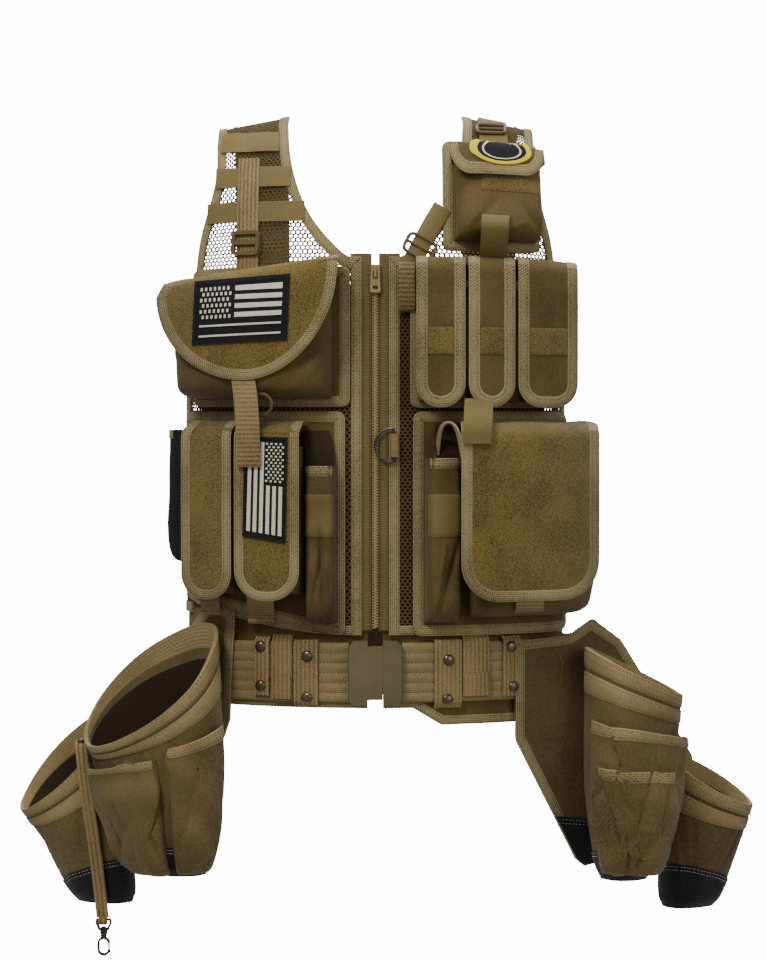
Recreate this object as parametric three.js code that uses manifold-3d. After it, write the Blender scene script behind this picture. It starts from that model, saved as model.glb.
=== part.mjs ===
// A utility work vest with its pouches, belt and hanging tool bags, in millimetres.
// +Z is up and the wearer faces -Y. The origin lies between the shoulders, level with their tops.
// Left and right are those of someone looking at the vest's front: left is -X.
import * as THREE from "three";
import { mergeVertices } from "three/addons/utils/BufferGeometryUtils.js";
import Module from "manifold-3d";

const wasm = await Module();
wasm.setup();

// The body that the vest is cut for
const BODY_HALF_WIDTH = 205;
const BODY_HALF_DEPTH = 130;
const BODY_SIDE_RADIUS = 95;
const CHEST_Z = -190;
const SHOULDER_ARC = 250;
const SHOULDER_SLOPE = 0.19;

// Cloth, webbing and the space between layers that are sewn together
const CLOTH = 2;
const WEBBING = 1.6;
const PAD = 4;
const BAG_WALL = 3;
const LAYER_GAP = 0.6;
const FIT_GAP = 0.3;

// The shell: two front panels, a back panel and two back straps
const ZIP_EDGE = 14;
const NECK_HALF = 92;
const SHOULDER_OUTER = 168;
const NECK_BASE_Z = -156;
const HEM_Z = -548;
const HEM_SIDE_Z = -512;
const UNDERARM_Z = -236;
const FRONT_SIDE_SHARE = 1 / 3;
const SIDE_LAP = 10;
const BACK_HEM_Z = -530;
const BACK_STRAP_WIDTH = 50;
const BACK_STRAP_LAP = 26;

// The zip
const CHAIN_WIDTH = 6;
const CHAIN_THICKNESS = 3;
const ZIP_TAPE_REACH = 26;
const ZIP_TOP_Z = -164;
const SLIDER_WIDTH = 9;
const SLIDER_LENGTH = 15;
const SLIDER_THICKNESS = 3;
const BRIDGE_WIDTH = 2.4;
const BRIDGE_LENGTH = 11;
const BRIDGE_BAR = 1.6;
const BRIDGE_CLEAR = 3.4;
const PULL_WIDTH = 11;
const PULL_LENGTH = 23;
const PULL_THICKNESS = 1.6;

// The belt, its pad and its buckle
const BELT_TOP_Z = -556;
const BELT_WIDTH = 62;
const BELT_THICKNESS = 5;
const BELT_PAD_TOP_Z = -524;
const BELT_PAD_FOOT_Z = -624;
const BELT_PAD_DROP = 18;
const PAD_DROP_FROM = 60;
const PAD_DROP_TO = 180;
const PLATE_START = BODY_HALF_WIDTH - 59;
const OUTER_BAG_BACK = 36;
const BUCKLE_WIDTH = 55;
const BUCKLE_HEIGHT = 67;
const BUCKLE_THICKNESS = 13;
const BUCKLE_BACK = 1.5;
const BUCKLE_CORNER = 5;
const NOTCH = { half: 8, deep: 6 };
const TONGUE = { reach: 24, half: 22, wall: 3 };

// Each tool bag's mouth hangs out from the belt; lengths are as the front view shows them.
// lean is how far the foot swings back to the body, roll and pitch how far the outer end and the front drop.
const BAG_TURN = Math.PI / 6;
// beyond is how far out from the body's side a mouth's middle lies, and below how far under the belt's top.
const BAG_A = { beyond: 31, below: 46, width: 76, depth: 46, drop: 195, lean: 27, roll: 34, pitch: 51 };
const BAG_B = { beyond: 128, below: 133, width: 50, depth: 36, drop: 146, lean: 46, roll: 33, pitch: 37 };
const BAG_C = { beyond: 68, below: 34, width: 52, depth: 42, drop: 218, lean: 11, roll: 22, pitch: 11 };
const BAG_D = { beyond: 156, below: 155, width: 46, depth: 36, drop: 134, lean: 26, roll: 20, pitch: 17 };
const BAG_POCKET_DEPTH = 14;
const BAG_SEAT = 0.9;
const POCKET_SEAT = 1.25;
const PLATE_THICKNESS = 3;

// The lanyard and its snap hook
const LANYARD = { width: 13, thickness: 2, drop: 184, lean: 24, stand: 22, loop: 9.6 };
const EYE = { half: 8.5, thickness: 3, rim: 2.4, height: 12.5, foot: 5.4, shoulder: 4 };
const COLLAR = { radius: 4, height: 4 };
const STEM_RADIUS = 1.5;
const STEM_HEAD = { radius: 2.8, height: 1.4 };
const HOOK = { half: 6.8, height: 20, rim: 2.6, thickness: 4.4, shoulder: 2.4 };
const GATE = { thickness: 1.6, width: 2, hub: 1.9, pin: 0.7, foot: 15.2, top: 6.4 };

// Pouches and flaps
const FLAP = 3;
const FLAP_CLEAR = 1.4;
const BELLY_TOP_Z = -316;
const BELLY_FOOT_Z = HEM_Z - 1;
const BELLY_MOUTH_Z = BELLY_TOP_Z - 36;
const BELLY_HINGE_Z = BELLY_TOP_Z - 16;
const TOOL_POCKET_LEFT = { x0: -67, x1: -39, foot: HEM_Z + 13, mouth: BELLY_TOP_Z - 56, depth: 26 };
const TOOL_POCKET_RIGHT = { x0: 50, x1: 82, foot: HEM_Z + 13, mouth: BELLY_TOP_Z - 48, depth: 28 };
const CHEST_POUCH = { x0: -184, x1: -44, foot: BELLY_TOP_Z + 14, mouth: -192, depth: 46, hinge: -172, tip: -286 };
const RADIO = { x0: 80, x1: 164, foot: -140, mouth: -64, depth: 30, hinge: -50, tip: -72 };
const LARGE = { x0: 94, x1: 197, foot: HEM_Z + 18, mouth: BELLY_MOUTH_Z + 2, depth: 46, tip: HEM_Z + 36 };
const SIDE_POUCH = { from: 262, to: 330, foot: -478, mouth: -335, depth: 20 };
const BAND_DROP = 10.5;
const SLIDE_BUCKLE = { width: 33, height: 26, thickness: 4, rim: 4, z: -141 };

const COLOURS = {
  cloth: 0x75602f,
  net: 0x6b5636,
  webbing: 0x8a7143,
  binding: 0x94804f,
  loop_pile: 0x7b6526,
  olive_plastic: 0x676844,
  black_cloth: 0x22222c,
  gunmetal: 0x4a4642,
  tan_plastic: 0x7a6240,
};
const ROUGHNESS = { olive_plastic: 0.5, tan_plastic: 0.5, gunmetal: 0.35 };
const METALNESS = { gunmetal: 0.9 };

const group = new THREE.Group();
const materials = {};
for (const [name, color] of Object.entries(COLOURS)) {
  const roughness = ROUGHNESS[name] ?? 0.85;
  materials[name] = new THREE.MeshStandardMaterial({ color, roughness, metalness: METALNESS[name] ?? 0 });
}

function add(name, material, solid) {
  const mesh = new THREE.Mesh(solid.isBufferGeometry ? solid : toGeometry(solid), materials[material]);
  mesh.name = name;
  group.add(mesh);
  return mesh;
}

// Solids for cutting and joining
function toSolid(geometry) {
  const bare = geometry.index ? geometry.toNonIndexed() : geometry.clone();
  for (const extra of ["normal", "uv"]) bare.deleteAttribute(extra);
  const merged = mergeVertices(bare, 1e-3);
  const triVerts = new Uint32Array(merged.index.array);
  const vertProperties = merged.attributes.position.array;
  const made = new wasm.Manifold(new wasm.Mesh({ numProp: 3, vertProperties, triVerts }));
  if (made.volume() > 0) return made;
  for (let i = 0; i < triVerts.length; i += 3) {
    [triVerts[i + 1], triVerts[i + 2]] = [triVerts[i + 2], triVerts[i + 1]];
  }
  return new wasm.Manifold(new wasm.Mesh({ numProp: 3, vertProperties, triVerts }));
}

function toGeometry(solid) {
  const mesh = solid.getMesh();
  const positions = new Float32Array(mesh.numVert * 3);
  for (let i = 0; i < mesh.numVert; i++) {
    positions.set(mesh.vertProperties.subarray(i * mesh.numProp, i * mesh.numProp + 3), i * 3);
  }
  const geometry = new THREE.BufferGeometry();
  geometry.setAttribute("position", new THREE.BufferAttribute(positions, 3));
  geometry.setIndex(new THREE.BufferAttribute(mesh.triVerts, 1));
  return geometry;
}

function triangles(points, faces) {
  const geometry = new THREE.BufferGeometry();
  geometry.setAttribute("position", new THREE.Float32BufferAttribute(points.flatMap((p) => [p.x, p.y, p.z]), 3));
  geometry.setIndex(faces);
  return toSolid(geometry);
}

// A wall between two grids of points of the same size, closed round its rim
function wallBetween(outer, inner) {
  const rows = outer.length;
  const columns = outer[0].length;
  const points = [...outer.flat(), ...inner.flat()];
  const shift = rows * columns;
  const faces = [];
  const quad = (a, b, c, d) => faces.push(a, b, c, a, c, d);
  for (let j = 0; j < rows - 1; j++) {
    for (let i = 0; i < columns - 1; i++) {
      const a = j * columns + i;
      quad(a, a + 1, a + 1 + columns, a + columns);
      quad(shift + a, shift + a + columns, shift + a + 1 + columns, shift + a + 1);
    }
  }
  const rim = [];
  for (let i = 0; i < columns - 1; i++) rim.push(i);
  for (let j = 0; j < rows - 1; j++) rim.push(j * columns + columns - 1);
  for (let i = columns - 1; i > 0; i--) rim.push((rows - 1) * columns + i);
  for (let j = rows - 1; j > 0; j--) rim.push(j * columns);
  rim.forEach((a, k) => {
    const b = rim[(k + 1) % rim.length];
    quad(b, a, shift + a, shift + b);
  });
  return triangles(points, faces);
}

// The whole numbers from 0 to count - 1
const upTo = (count) => Array.from({ length: count }, (unused, i) => i);
const steps = (from, to, count) => upTo(count + 1).map((i) => from + ((to - from) * i) / count);
const between = (a, b, share) => a + (b - a) * share;

// A surface made of flat facets that meet along fixed lines, so that layers on it stay parallel.
// point(u, v) is the smooth surface, and out is a distance along its outward normal.
class Facets {
  constructor(point, us, vs, turn) {
    const e = 0.02;
    this.us = us;
    this.vs = vs;
    this.corner = us.map((u) =>
      vs.map((v) => {
        const across = point(u + e, v).sub(point(u - e, v));
        const up = point(u, v + e).sub(point(u, v - e));
        return { at: point(u, v), normal: across.cross(up).multiplyScalar(turn).normalize() };
      }),
    );
  }

  at(u, v, out = 0) {
    const [i, f] = Facets.find(this.us, u);
    const [j, g] = Facets.find(this.vs, v);
    const sum = new THREE.Vector3();
    for (const [a, b, share] of [[0, 0, (1 - f) * (1 - g)], [1, 0, f * (1 - g)], [0, 1, (1 - f) * g], [1, 1, f * g]]) {
      const corner = this.corner[i + a][j + b];
      sum.addScaledVector(corner.at, share).addScaledVector(corner.normal, share * out);
    }
    return sum;
  }

  static find(lines, value) {
    let i = 0;
    while (i < lines.length - 2 && value > lines[i + 1]) i++;
    return [i, (value - lines[i]) / (lines[i + 1] - lines[i])];
  }

  // The whole facets that hold all from one value to another
  static around(lines, from, to) {
    const first = lines.findLastIndex((line) => line <= from + 1e-6);
    const last = lines.findIndex((line) => line >= to - 1e-6);
    return lines.slice(Math.max(0, first), last < 0 ? lines.length : last + 1);
  }

  // from, to and the lines between them
  static columns(lines, from, to) {
    const margin = 0.001 * (lines.at(-1) - lines[0]);
    return [from, ...lines.filter((u) => u > from + margin && u < to - margin), to];
  }
}

// The body's section is an oval of four arcs; s runs round it from the middle of the front
const OVAL_SHIFT = BODY_HALF_WIDTH - BODY_SIDE_RADIUS;
const FRONT_RADIUS =
  (OVAL_SHIFT ** 2 + BODY_HALF_DEPTH ** 2 - BODY_SIDE_RADIUS ** 2) / (2 * (BODY_HALF_DEPTH - BODY_SIDE_RADIUS));
const JOIN_ANGLE = Math.atan2(OVAL_SHIFT, FRONT_RADIUS - BODY_HALF_DEPTH);
const FRONT_ARC = FRONT_RADIUS * JOIN_ANGLE;
const SIDE_ARC = BODY_SIDE_RADIUS * (Math.PI - 2 * JOIN_ANGLE);
const HALF_GIRTH = 2 * FRONT_ARC + SIDE_ARC;

function ovalPoint(s) {
  const along = Math.abs(s);
  const mirrored = along > HALF_GIRTH / 2;
  const t = mirrored ? HALF_GIRTH - along : along;
  const angle = t < FRONT_ARC ? t / FRONT_RADIUS : JOIN_ANGLE + (t - FRONT_ARC) / BODY_SIDE_RADIUS;
  const radius = t < FRONT_ARC ? FRONT_RADIUS : BODY_SIDE_RADIUS;
  const [cx, cy] = t < FRONT_ARC ? [0, FRONT_RADIUS - BODY_HALF_DEPTH] : [OVAL_SHIFT, 0];
  const y = cy - radius * Math.cos(angle);
  return [Math.sign(s) * (cx + radius * Math.sin(angle)), mirrored ? -y : y];
}

const shoulderRise = (x) => -CHEST_Z - SHOULDER_SLOPE * Math.max(0, Math.abs(x) - NECK_HALF);

// h is the height up to the chest, and above it the way up and over the shoulder
function bodyPoint(s, h) {
  const [x, y] = ovalPoint(s);
  const over = h - CHEST_Z;
  if (over <= 0) return new THREE.Vector3(x, y, h);
  const turn = (Math.min(over / SHOULDER_ARC, 2) * Math.PI) / 2;
  const below = Math.max(0, over - 2 * SHOULDER_ARC);
  return new THREE.Vector3(x, y * Math.cos(turn), CHEST_Z + shoulderRise(x) * Math.sin(turn) - below);
}

const FRONT_STEPS = 4;
const SIDE_STEPS = 6;
const SHOULDER_STEPS = 7;
const frontReach = between(FRONT_ARC, HALF_GIRTH - FRONT_ARC, FRONT_SIDE_SHARE);
const quarterLines = [
  ...steps(0, FRONT_ARC, FRONT_STEPS),
  ...steps(FRONT_ARC, HALF_GIRTH - FRONT_ARC, SIDE_STEPS).slice(1),
  ...steps(HALF_GIRTH - FRONT_ARC, HALF_GIRTH, FRONT_STEPS).slice(1),
];
const girthLines = [...quarterLines.slice(1).map((s) => -s).reverse(), ...quarterLines];
const heightLines = [
  HEM_Z - 400,
  ...steps(CHEST_Z, CHEST_Z + 2 * SHOULDER_ARC, 2 * SHOULDER_STEPS),
  CHEST_Z + 2 * SHOULDER_ARC + 300,
];
const body = new Facets(bodyPoint, girthLines, heightLines, 1);

// s where the front has the given x, and h where it has the given height
function girthAt(x) {
  const t = Math.abs(x);
  const split = FRONT_RADIUS * Math.sin(JOIN_ANGLE);
  const s =
    t < split
      ? FRONT_RADIUS * Math.asin(t / FRONT_RADIUS)
      : FRONT_ARC + BODY_SIDE_RADIUS * (Math.asin(Math.min(1, (t - OVAL_SHIFT) / BODY_SIDE_RADIUS)) - JOIN_ANGLE);
  return Math.sign(x) * s;
}

function heightAt(z, x) {
  if (z <= CHEST_Z) return z;
  return CHEST_Z + (SHOULDER_ARC * 2 * Math.asin(Math.min(1, (z - CHEST_Z) / shoulderRise(x)))) / Math.PI;
}

// A sheet that follows the body between the distances low and high from it
function bodySheet(s0, s1, h0, h1, low, high) {
  const columns = Facets.columns(girthLines, s0, s1);
  const rows = Facets.columns(heightLines, h0, h1);
  const grid = (out) => rows.map((h) => columns.map((s) => body.at(s, h, out)));
  return wallBetween(grid(high), grid(low));
}

// An outline in the front view, drawn through all of the body's front
function frontCutter(shape, segments = 10) {
  const depth = 2 * BODY_HALF_DEPTH;
  const geometry = new THREE.ExtrudeGeometry(shape, { depth, bevelEnabled: false, curveSegments: segments });
  return toSolid(geometry.rotateX(Math.PI / 2));
}

// A layer of cloth within an outline of the front view, on the same facets as every other layer
function layer(outline, low, high, reach = HALF_GIRTH / 2) {
  const points = outline.getPoints(6);
  const [xs, zs] = [points.map((p) => p.x), points.map((p) => p.y)];
  const middle = (Math.min(...xs) + Math.max(...xs)) / 2;
  const within = (x) => Math.sign(x) * Math.min(Math.abs(x), BODY_HALF_WIDTH);
  const [s0, s1] = [girthAt(within(Math.min(...xs))), girthAt(within(Math.max(...xs)))];
  const columns = Facets.around(girthLines, Math.max(-reach, s0), Math.min(reach, s1));
  const top = Math.min(CHEST_Z + SHOULDER_ARC, heightAt(Math.min(Math.max(...zs), 0), middle) + 8);
  const rows = Facets.around(heightLines, heightAt(Math.min(...zs), middle) - 2, top);
  const grid = (out) => rows.map((h) => columns.map((s) => body.at(s, h, out)));
  return wallBetween(grid(high), grid(low)).intersect(frontCutter(outline, 6));
}

const mirrored = (solid) => toSolid(toGeometry(solid).applyMatrix4(new THREE.Matrix4().makeScale(-1, 1, 1)));
const points2 = (list) => list.map(([x, y]) => new THREE.Vector2(x, y));

// The shell
function frontPanelOutline() {
  const beyond = BODY_HALF_WIDTH + 20;
  const corner = 14;
  const outline = new THREE.Shape();
  outline.moveTo(ZIP_EDGE, NECK_BASE_Z);
  outline.lineTo(ZIP_EDGE, HEM_Z + corner);
  outline.quadraticCurveTo(ZIP_EDGE, HEM_Z, ZIP_EDGE + corner, HEM_Z);
  outline.quadraticCurveTo(BODY_HALF_WIDTH / 2, HEM_Z, beyond, HEM_SIDE_Z);
  outline.lineTo(beyond, UNDERARM_Z);
  outline.lineTo(BODY_HALF_WIDTH, UNDERARM_Z);
  const armholeIn = SHOULDER_OUTER;
  outline.splineThru(
    points2([
      [between(armholeIn, BODY_HALF_WIDTH, 0.6), between(UNDERARM_Z, 0, 0.25)],
      [between(armholeIn, BODY_HALF_WIDTH, 0.45), between(UNDERARM_Z, 0, 0.42)],
      [between(armholeIn, BODY_HALF_WIDTH, 0.02), between(UNDERARM_Z, 0, 0.68)],
      [armholeIn, 40],
    ]),
  );
  outline.lineTo(NECK_HALF, 40);
  outline.lineTo(NECK_HALF, between(NECK_BASE_Z, 0, 0.9));
  outline.splineThru(
    points2([
      [between(ZIP_EDGE, NECK_HALF, 0.94), between(NECK_BASE_Z, 0, 0.62)],
      [between(ZIP_EDGE, NECK_HALF, 0.7), between(NECK_BASE_Z, 0, 0.3)],
      [between(ZIP_EDGE, NECK_HALF, 0.24), NECK_BASE_Z + 3],
      [ZIP_EDGE, NECK_BASE_Z],
    ]),
  );
  return outline;
}

function backPanel() {
  const columns = steps(frontReach - SIDE_LAP, 2 * HALF_GIRTH - frontReach + SIDE_LAP, 1);
  const lines = [...quarterLines, ...quarterLines.slice(0, -1).reverse().map((s) => 2 * HALF_GIRTH - s)];
  const across = Facets.columns(lines, columns[0], columns[1]);
  const grid = (out) =>
    [BACK_HEM_Z, between(BACK_HEM_Z, CHEST_Z, 0.5), CHEST_Z].map((top) =>
      across.map((s) => {
        const side = Math.max(0, 1 - Math.abs(s - HALF_GIRTH) / FRONT_ARC);
        const armhole = top === CHEST_Z ? (UNDERARM_Z - CHEST_Z) * (1 - Math.min(1, side * 2.5)) : 0;
        return body.at(s > HALF_GIRTH ? s - 2 * HALF_GIRTH : s, top + armhole, out);
      }),
    );
  return wallBetween(grid(-LAYER_GAP), grid(-LAYER_GAP - CLOTH));
}

function backStrap() {
  const middle = (NECK_HALF + SHOULDER_OUTER) / 2;
  const top = CHEST_Z + SHOULDER_ARC + LAYER_GAP;
  const foot = CHEST_Z + 2 * SHOULDER_ARC + BACK_STRAP_LAP;
  return bodySheet(middle - BACK_STRAP_WIDTH / 2, middle + BACK_STRAP_WIDTH / 2, top, foot, 0, CLOTH);
}

const flipped = (outline) =>
  new THREE.Shape(outline.getPoints(6).map((p) => new THREE.Vector2(-p.x, p.y)).reverse());
const panelOutline = frontPanelOutline();
const strap = backStrap();
add("front_panel_right", "net", layer(panelOutline, 0, CLOTH, frontReach));
add("front_panel_left", "net", layer(flipped(panelOutline), 0, CLOTH, frontReach));
add("back_panel", "net", backPanel());
add("back_strap_right", "webbing", strap);
add("back_strap_left", "webbing", mirrored(strap));

// The zip: two tapes under the panels' edges, the chain between them, the slider and its pull
const FRONT_Y = -BODY_HALF_DEPTH;
const chainHalf = CHAIN_WIDTH / 2;
const tape = bodySheet(
  chainHalf + LAYER_GAP, ZIP_TAPE_REACH, HEM_Z + 4, ZIP_TOP_Z + 6, -LAYER_GAP - WEBBING, -LAYER_GAP,
);
add("zip_tape_right", "cloth", tape);
add("zip_tape_left", "cloth", mirrored(tape));

// A block from its lowest corner to its highest
function block(x0, y0, z0, x1, y1, z1) {
  const box = new THREE.BoxGeometry(x1 - x0, y1 - y0, z1 - z0);
  return toSolid(box.translate((x0 + x1) / 2, (y0 + y1) / 2, (z0 + z1) / 2));
}

// The body's front bends back above the chest, so the zip's top follows it
const zipFront = (z) => body.at(0, heightAt(z, 0), 0).y;
const chain = bodySheet(-chainHalf, chainHalf, HEM_Z + 6, heightAt(ZIP_TOP_Z, 0), -CHAIN_THICKNESS + 1, 1);
add("zip_chain", "tan_plastic", chain);

const sliderFoot = ZIP_TOP_Z - SLIDER_LENGTH;
const sliderBack = zipFront(sliderFoot) - 1 - FIT_GAP;
const sliderFace = sliderBack - SLIDER_THICKNESS;
const bridgeTop = ZIP_TOP_Z - 2;
const bridgeFoot = bridgeTop - BRIDGE_LENGTH;
const bridgeFace = sliderFace - BRIDGE_CLEAR - BRIDGE_BAR;
function zipSlider() {
  const half = SLIDER_WIDTH / 2;
  const barHalf = BRIDGE_WIDTH / 2;
  const plate = block(-half, sliderFace, sliderFoot, half, sliderBack, ZIP_TOP_Z);
  const arch = block(-barHalf, bridgeFace, bridgeFoot, barHalf, sliderFace + 1, bridgeTop);
  const under = block(
    -half, sliderFace - BRIDGE_CLEAR, bridgeFoot + BRIDGE_BAR, half, sliderFace, bridgeTop - BRIDGE_BAR,
  );
  return plate.add(arch.subtract(under));
}
add("zip_slider", "tan_plastic", zipSlider());

// The pull hangs on a bar under the bridge, and its hole passes round the bridge as it turns
const pullHinge = new THREE.Vector3(0, sliderFace - BRIDGE_CLEAR / 2, (bridgeTop + bridgeFoot) / 2 + 1.5);
function zipPull() {
  const half = PULL_WIDTH / 2;
  const hole = BRIDGE_WIDTH / 2 + 1.4;
  const plate = new THREE.Shape();
  const top = PULL_THICKNESS / 2;
  plate.moveTo(-half + 2, -PULL_LENGTH);
  plate.lineTo(half - 2, -PULL_LENGTH);
  plate.quadraticCurveTo(half, -PULL_LENGTH, half, -PULL_LENGTH + 3);
  plate.lineTo(half - 1, top);
  plate.lineTo(-half + 1, top);
  plate.lineTo(-half, -PULL_LENGTH + 3);
  plate.quadraticCurveTo(-half, -PULL_LENGTH, -half + 2, -PULL_LENGTH);
  const gap = new THREE.Path(points2([[-hole, -top], [hole, -top], [hole, -top - 8.5], [-hole, -top - 8.5]]));
  const grip = new THREE.Path(
    points2([[-2.6, -PULL_LENGTH + 7], [2.6, -PULL_LENGTH + 7], [2.6, -PULL_LENGTH + 3.4], [-2.6, -PULL_LENGTH + 3.4]]),
  );
  plate.holes.push(gap, grip);
  const made = new THREE.ExtrudeGeometry(plate, { depth: PULL_THICKNESS, bevelEnabled: false, curveSegments: 3 });
  return made.translate(0, 0, -PULL_THICKNESS / 2).rotateX(Math.PI / 2);
}
add("zip_pull", "tan_plastic", zipPull()).position.copy(pullHinge);

// A pouch is a bulged wall with a bottom and two gussets, open at the top and on the side that it is sewn to.
// Each row of a profile is a share of the way across or up, and the share of the depth there.
const GUSSETED = [
  { way: 0, out: 0 },
  { way: 0.015, out: 0.62 },
  { way: 0.08, out: 0.93 },
  { way: 0.3, out: 1 },
  { way: 0.7, out: 1 },
  { way: 0.92, out: 0.93 },
  { way: 0.985, out: 0.62 },
  { way: 1, out: 0 },
];
const BAGGED = [
  { way: 0, out: 0 },
  { way: 0.02, out: 0.6 },
  { way: 0.08, out: 0.95 },
  { way: 0.3, out: 1 },
  { way: 1, out: 0.9 },
];

// The share of the depth at a place between the rows of a profile
function profileAt(profile, way) {
  const next = Math.max(1, profile.findIndex((row) => row.way >= way - 1e-9));
  const [a, b] = [profile[next - 1], profile[next]];
  return between(a.out, b.out, (way - a.way) / (b.way - a.way));
}

// A profile's rows and the lines between facets, as shares of the way; a line takes a near row's place
function facetShares(profile, lines, from, to) {
  const shares = lines.filter((x) => x > from && x < to).map((x) => (x - from) / (to - from));
  const ways = profile.map((row) => row.way);
  const inner = ways.slice(1, -1).filter((way) => shares.every((share) => Math.abs(share - way) > 0.04));
  return [...new Set([0, ...shares.filter((x) => x > 0.012 && x < 0.988), ...inner, 1])].sort((a, b) => a - b);
}

function pouch(surface, { u0, u1, v0, v1, depth, seat, wall, across = GUSSETED, up = BAGGED, uScale = 1, vScale = 1 }) {
  const columns = facetShares(across, surface.us, u0, u1);
  const rows = facetShares(up, surface.vs, v0, v1);
  const grid = (inset) => {
    const uInset = (inset * uScale) / (u1 - u0);
    const vInset = (inset * vScale) / (v1 - v0);
    return rows.map((high) =>
      columns.map((way) => {
        const u = between(u0, u1, between(uInset, 1 - uInset, way));
        const v = between(v0, v1, between(vInset, 1, high));
        return surface.at(u, v, seat + (depth - inset) * profileAt(across, way) * profileAt(up, high));
      }),
    );
  };
  return wallBetween(grid(0), grid(wall));
}

// A pouch on the vest's front, between two x and two z, both seen from the front
const BASE_OUT = LAYER_GAP + CLOTH;
const POUCH_SEAT = BASE_OUT + CLOTH + LAYER_GAP;
function frontPouch(x0, x1, z0, z1, depth, seat = POUCH_SEAT) {
  const middle = (x0 + x1) / 2;
  const place = { u0: girthAt(x0), u1: girthAt(x1), v0: heightAt(z0, middle), v1: heightAt(z1, middle) };
  return pouch(body, { ...place, depth, seat, wall: CLOTH });
}

// A flap leaves the base at its hinge, turns over the pouch's mouth and hangs before it.
// Each row is a share of the drop and a share of the reach.
const FLAP_WAY = [
  { drop: 0, out: 0 },
  { drop: -0.015, out: 0.5 },
  { drop: 0.015, out: 0.86 },
  { drop: 0.07, out: 0.985 },
  { drop: 0.5, out: 1.02 },
  { drop: 1.05, out: 0.985 },
];

function flap(outline, { x0, x1, hingeZ, tipZ, reach, thickness = FLAP, seat = POUCH_SEAT, segments = 6 }) {
  const middle = (x0 + x1) / 2;
  const columns = Facets.columns(girthLines, girthAt(x0), girthAt(x1));
  const drop = hingeZ - tipZ;
  const path = FLAP_WAY.map((row) => new THREE.Vector2(seat + row.out * reach, hingeZ - row.drop * drop));
  const pushed = path.map((p, i) => {
    const along = path[Math.min(i + 1, path.length - 1)].clone().sub(path[Math.max(i - 1, 0)]).normalize();
    return new THREE.Vector2(p.x - along.y * thickness, p.y + along.x * thickness);
  });
  pushed[0].x = seat;
  const grid = (way) => way.map((p) => columns.map((s) => body.at(s, heightAt(p.y, middle), p.x)));
  return wallBetween(grid(pushed), grid(path)).intersect(frontCutter(outline, segments));
}

// Outlines of flaps in the front view: flat at the hinge, with a round foot
function roundFoot(x0, x1, topZ, tipZ, corner) {
  const shape = new THREE.Shape();
  shape.moveTo(x0, topZ);
  shape.lineTo(x0, tipZ + corner);
  shape.bezierCurveTo(x0, tipZ + corner * 0.4, x0 + corner * 0.4, tipZ, x0 + corner, tipZ);
  shape.lineTo(x1 - corner, tipZ);
  shape.bezierCurveTo(x1 - corner * 0.4, tipZ, x1, tipZ + corner * 0.4, x1, tipZ + corner);
  shape.lineTo(x1, topZ);
  return shape;
}

function basePlate(x0, x1, z0, z1, corner = 8, slant = 0) {
  const shape = new THREE.Shape();
  shape.moveTo(x0, z1 - corner);
  shape.lineTo(x0, z0 + slant + corner);
  shape.quadraticCurveTo(x0, z0 + slant, x0 + corner, z0 + slant);
  shape.lineTo(x1 - corner, z0);
  shape.quadraticCurveTo(x1, z0, x1, z0 + corner);
  shape.lineTo(x1, z1 - corner);
  shape.quadraticCurveTo(x1, z1, x1 - corner, z1);
  shape.lineTo(x0 + corner, z1);
  shape.quadraticCurveTo(x0, z1, x0, z1 - corner);
  return layer(shape, BASE_OUT, BASE_OUT + CLOTH);
}

// Left chest: one wide pouch under a half-moon flap
const CHEST_LEFT = { x0: -192, x1: -26, z0: BELLY_TOP_Z + 5, z1: -166 };
add("chest_base_left", "cloth", basePlate(CHEST_LEFT.x0, CHEST_LEFT.x1, CHEST_LEFT.z0, CHEST_LEFT.z1));
const { x0: chestLeft, x1: chestRight, foot: chestFoot, mouth: chestMouth, depth: chestDepth } = CHEST_POUCH;
add("chest_pouch_left", "cloth", frontPouch(chestLeft, chestRight, chestFoot, chestMouth, chestDepth));
function halfMoon(x0, x1, topZ, tipZ) {
  const shape = new THREE.Shape();
  const middle = (x0 + x1) / 2;
  const drop = topZ - tipZ;
  shape.moveTo(x0, topZ + 20);
  shape.lineTo(x0, topZ - 0.1 * drop);
  shape.bezierCurveTo(x0 + 4, topZ - 0.62 * drop, middle - 44, tipZ, middle + 4, tipZ);
  shape.bezierCurveTo(middle + 52, tipZ, x1 - 4, topZ - 0.6 * drop, x1, topZ + 12);
  return shape;
}
add(
  "chest_flap_left",
  "loop_pile",
  flap(halfMoon(-232, -36, -176, -282), {
    x0: -196, x1: -36, hingeZ: CHEST_POUCH.hinge, tipZ: CHEST_POUCH.tip, reach: chestDepth + FLAP_CLEAR,
  }),
);

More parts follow.
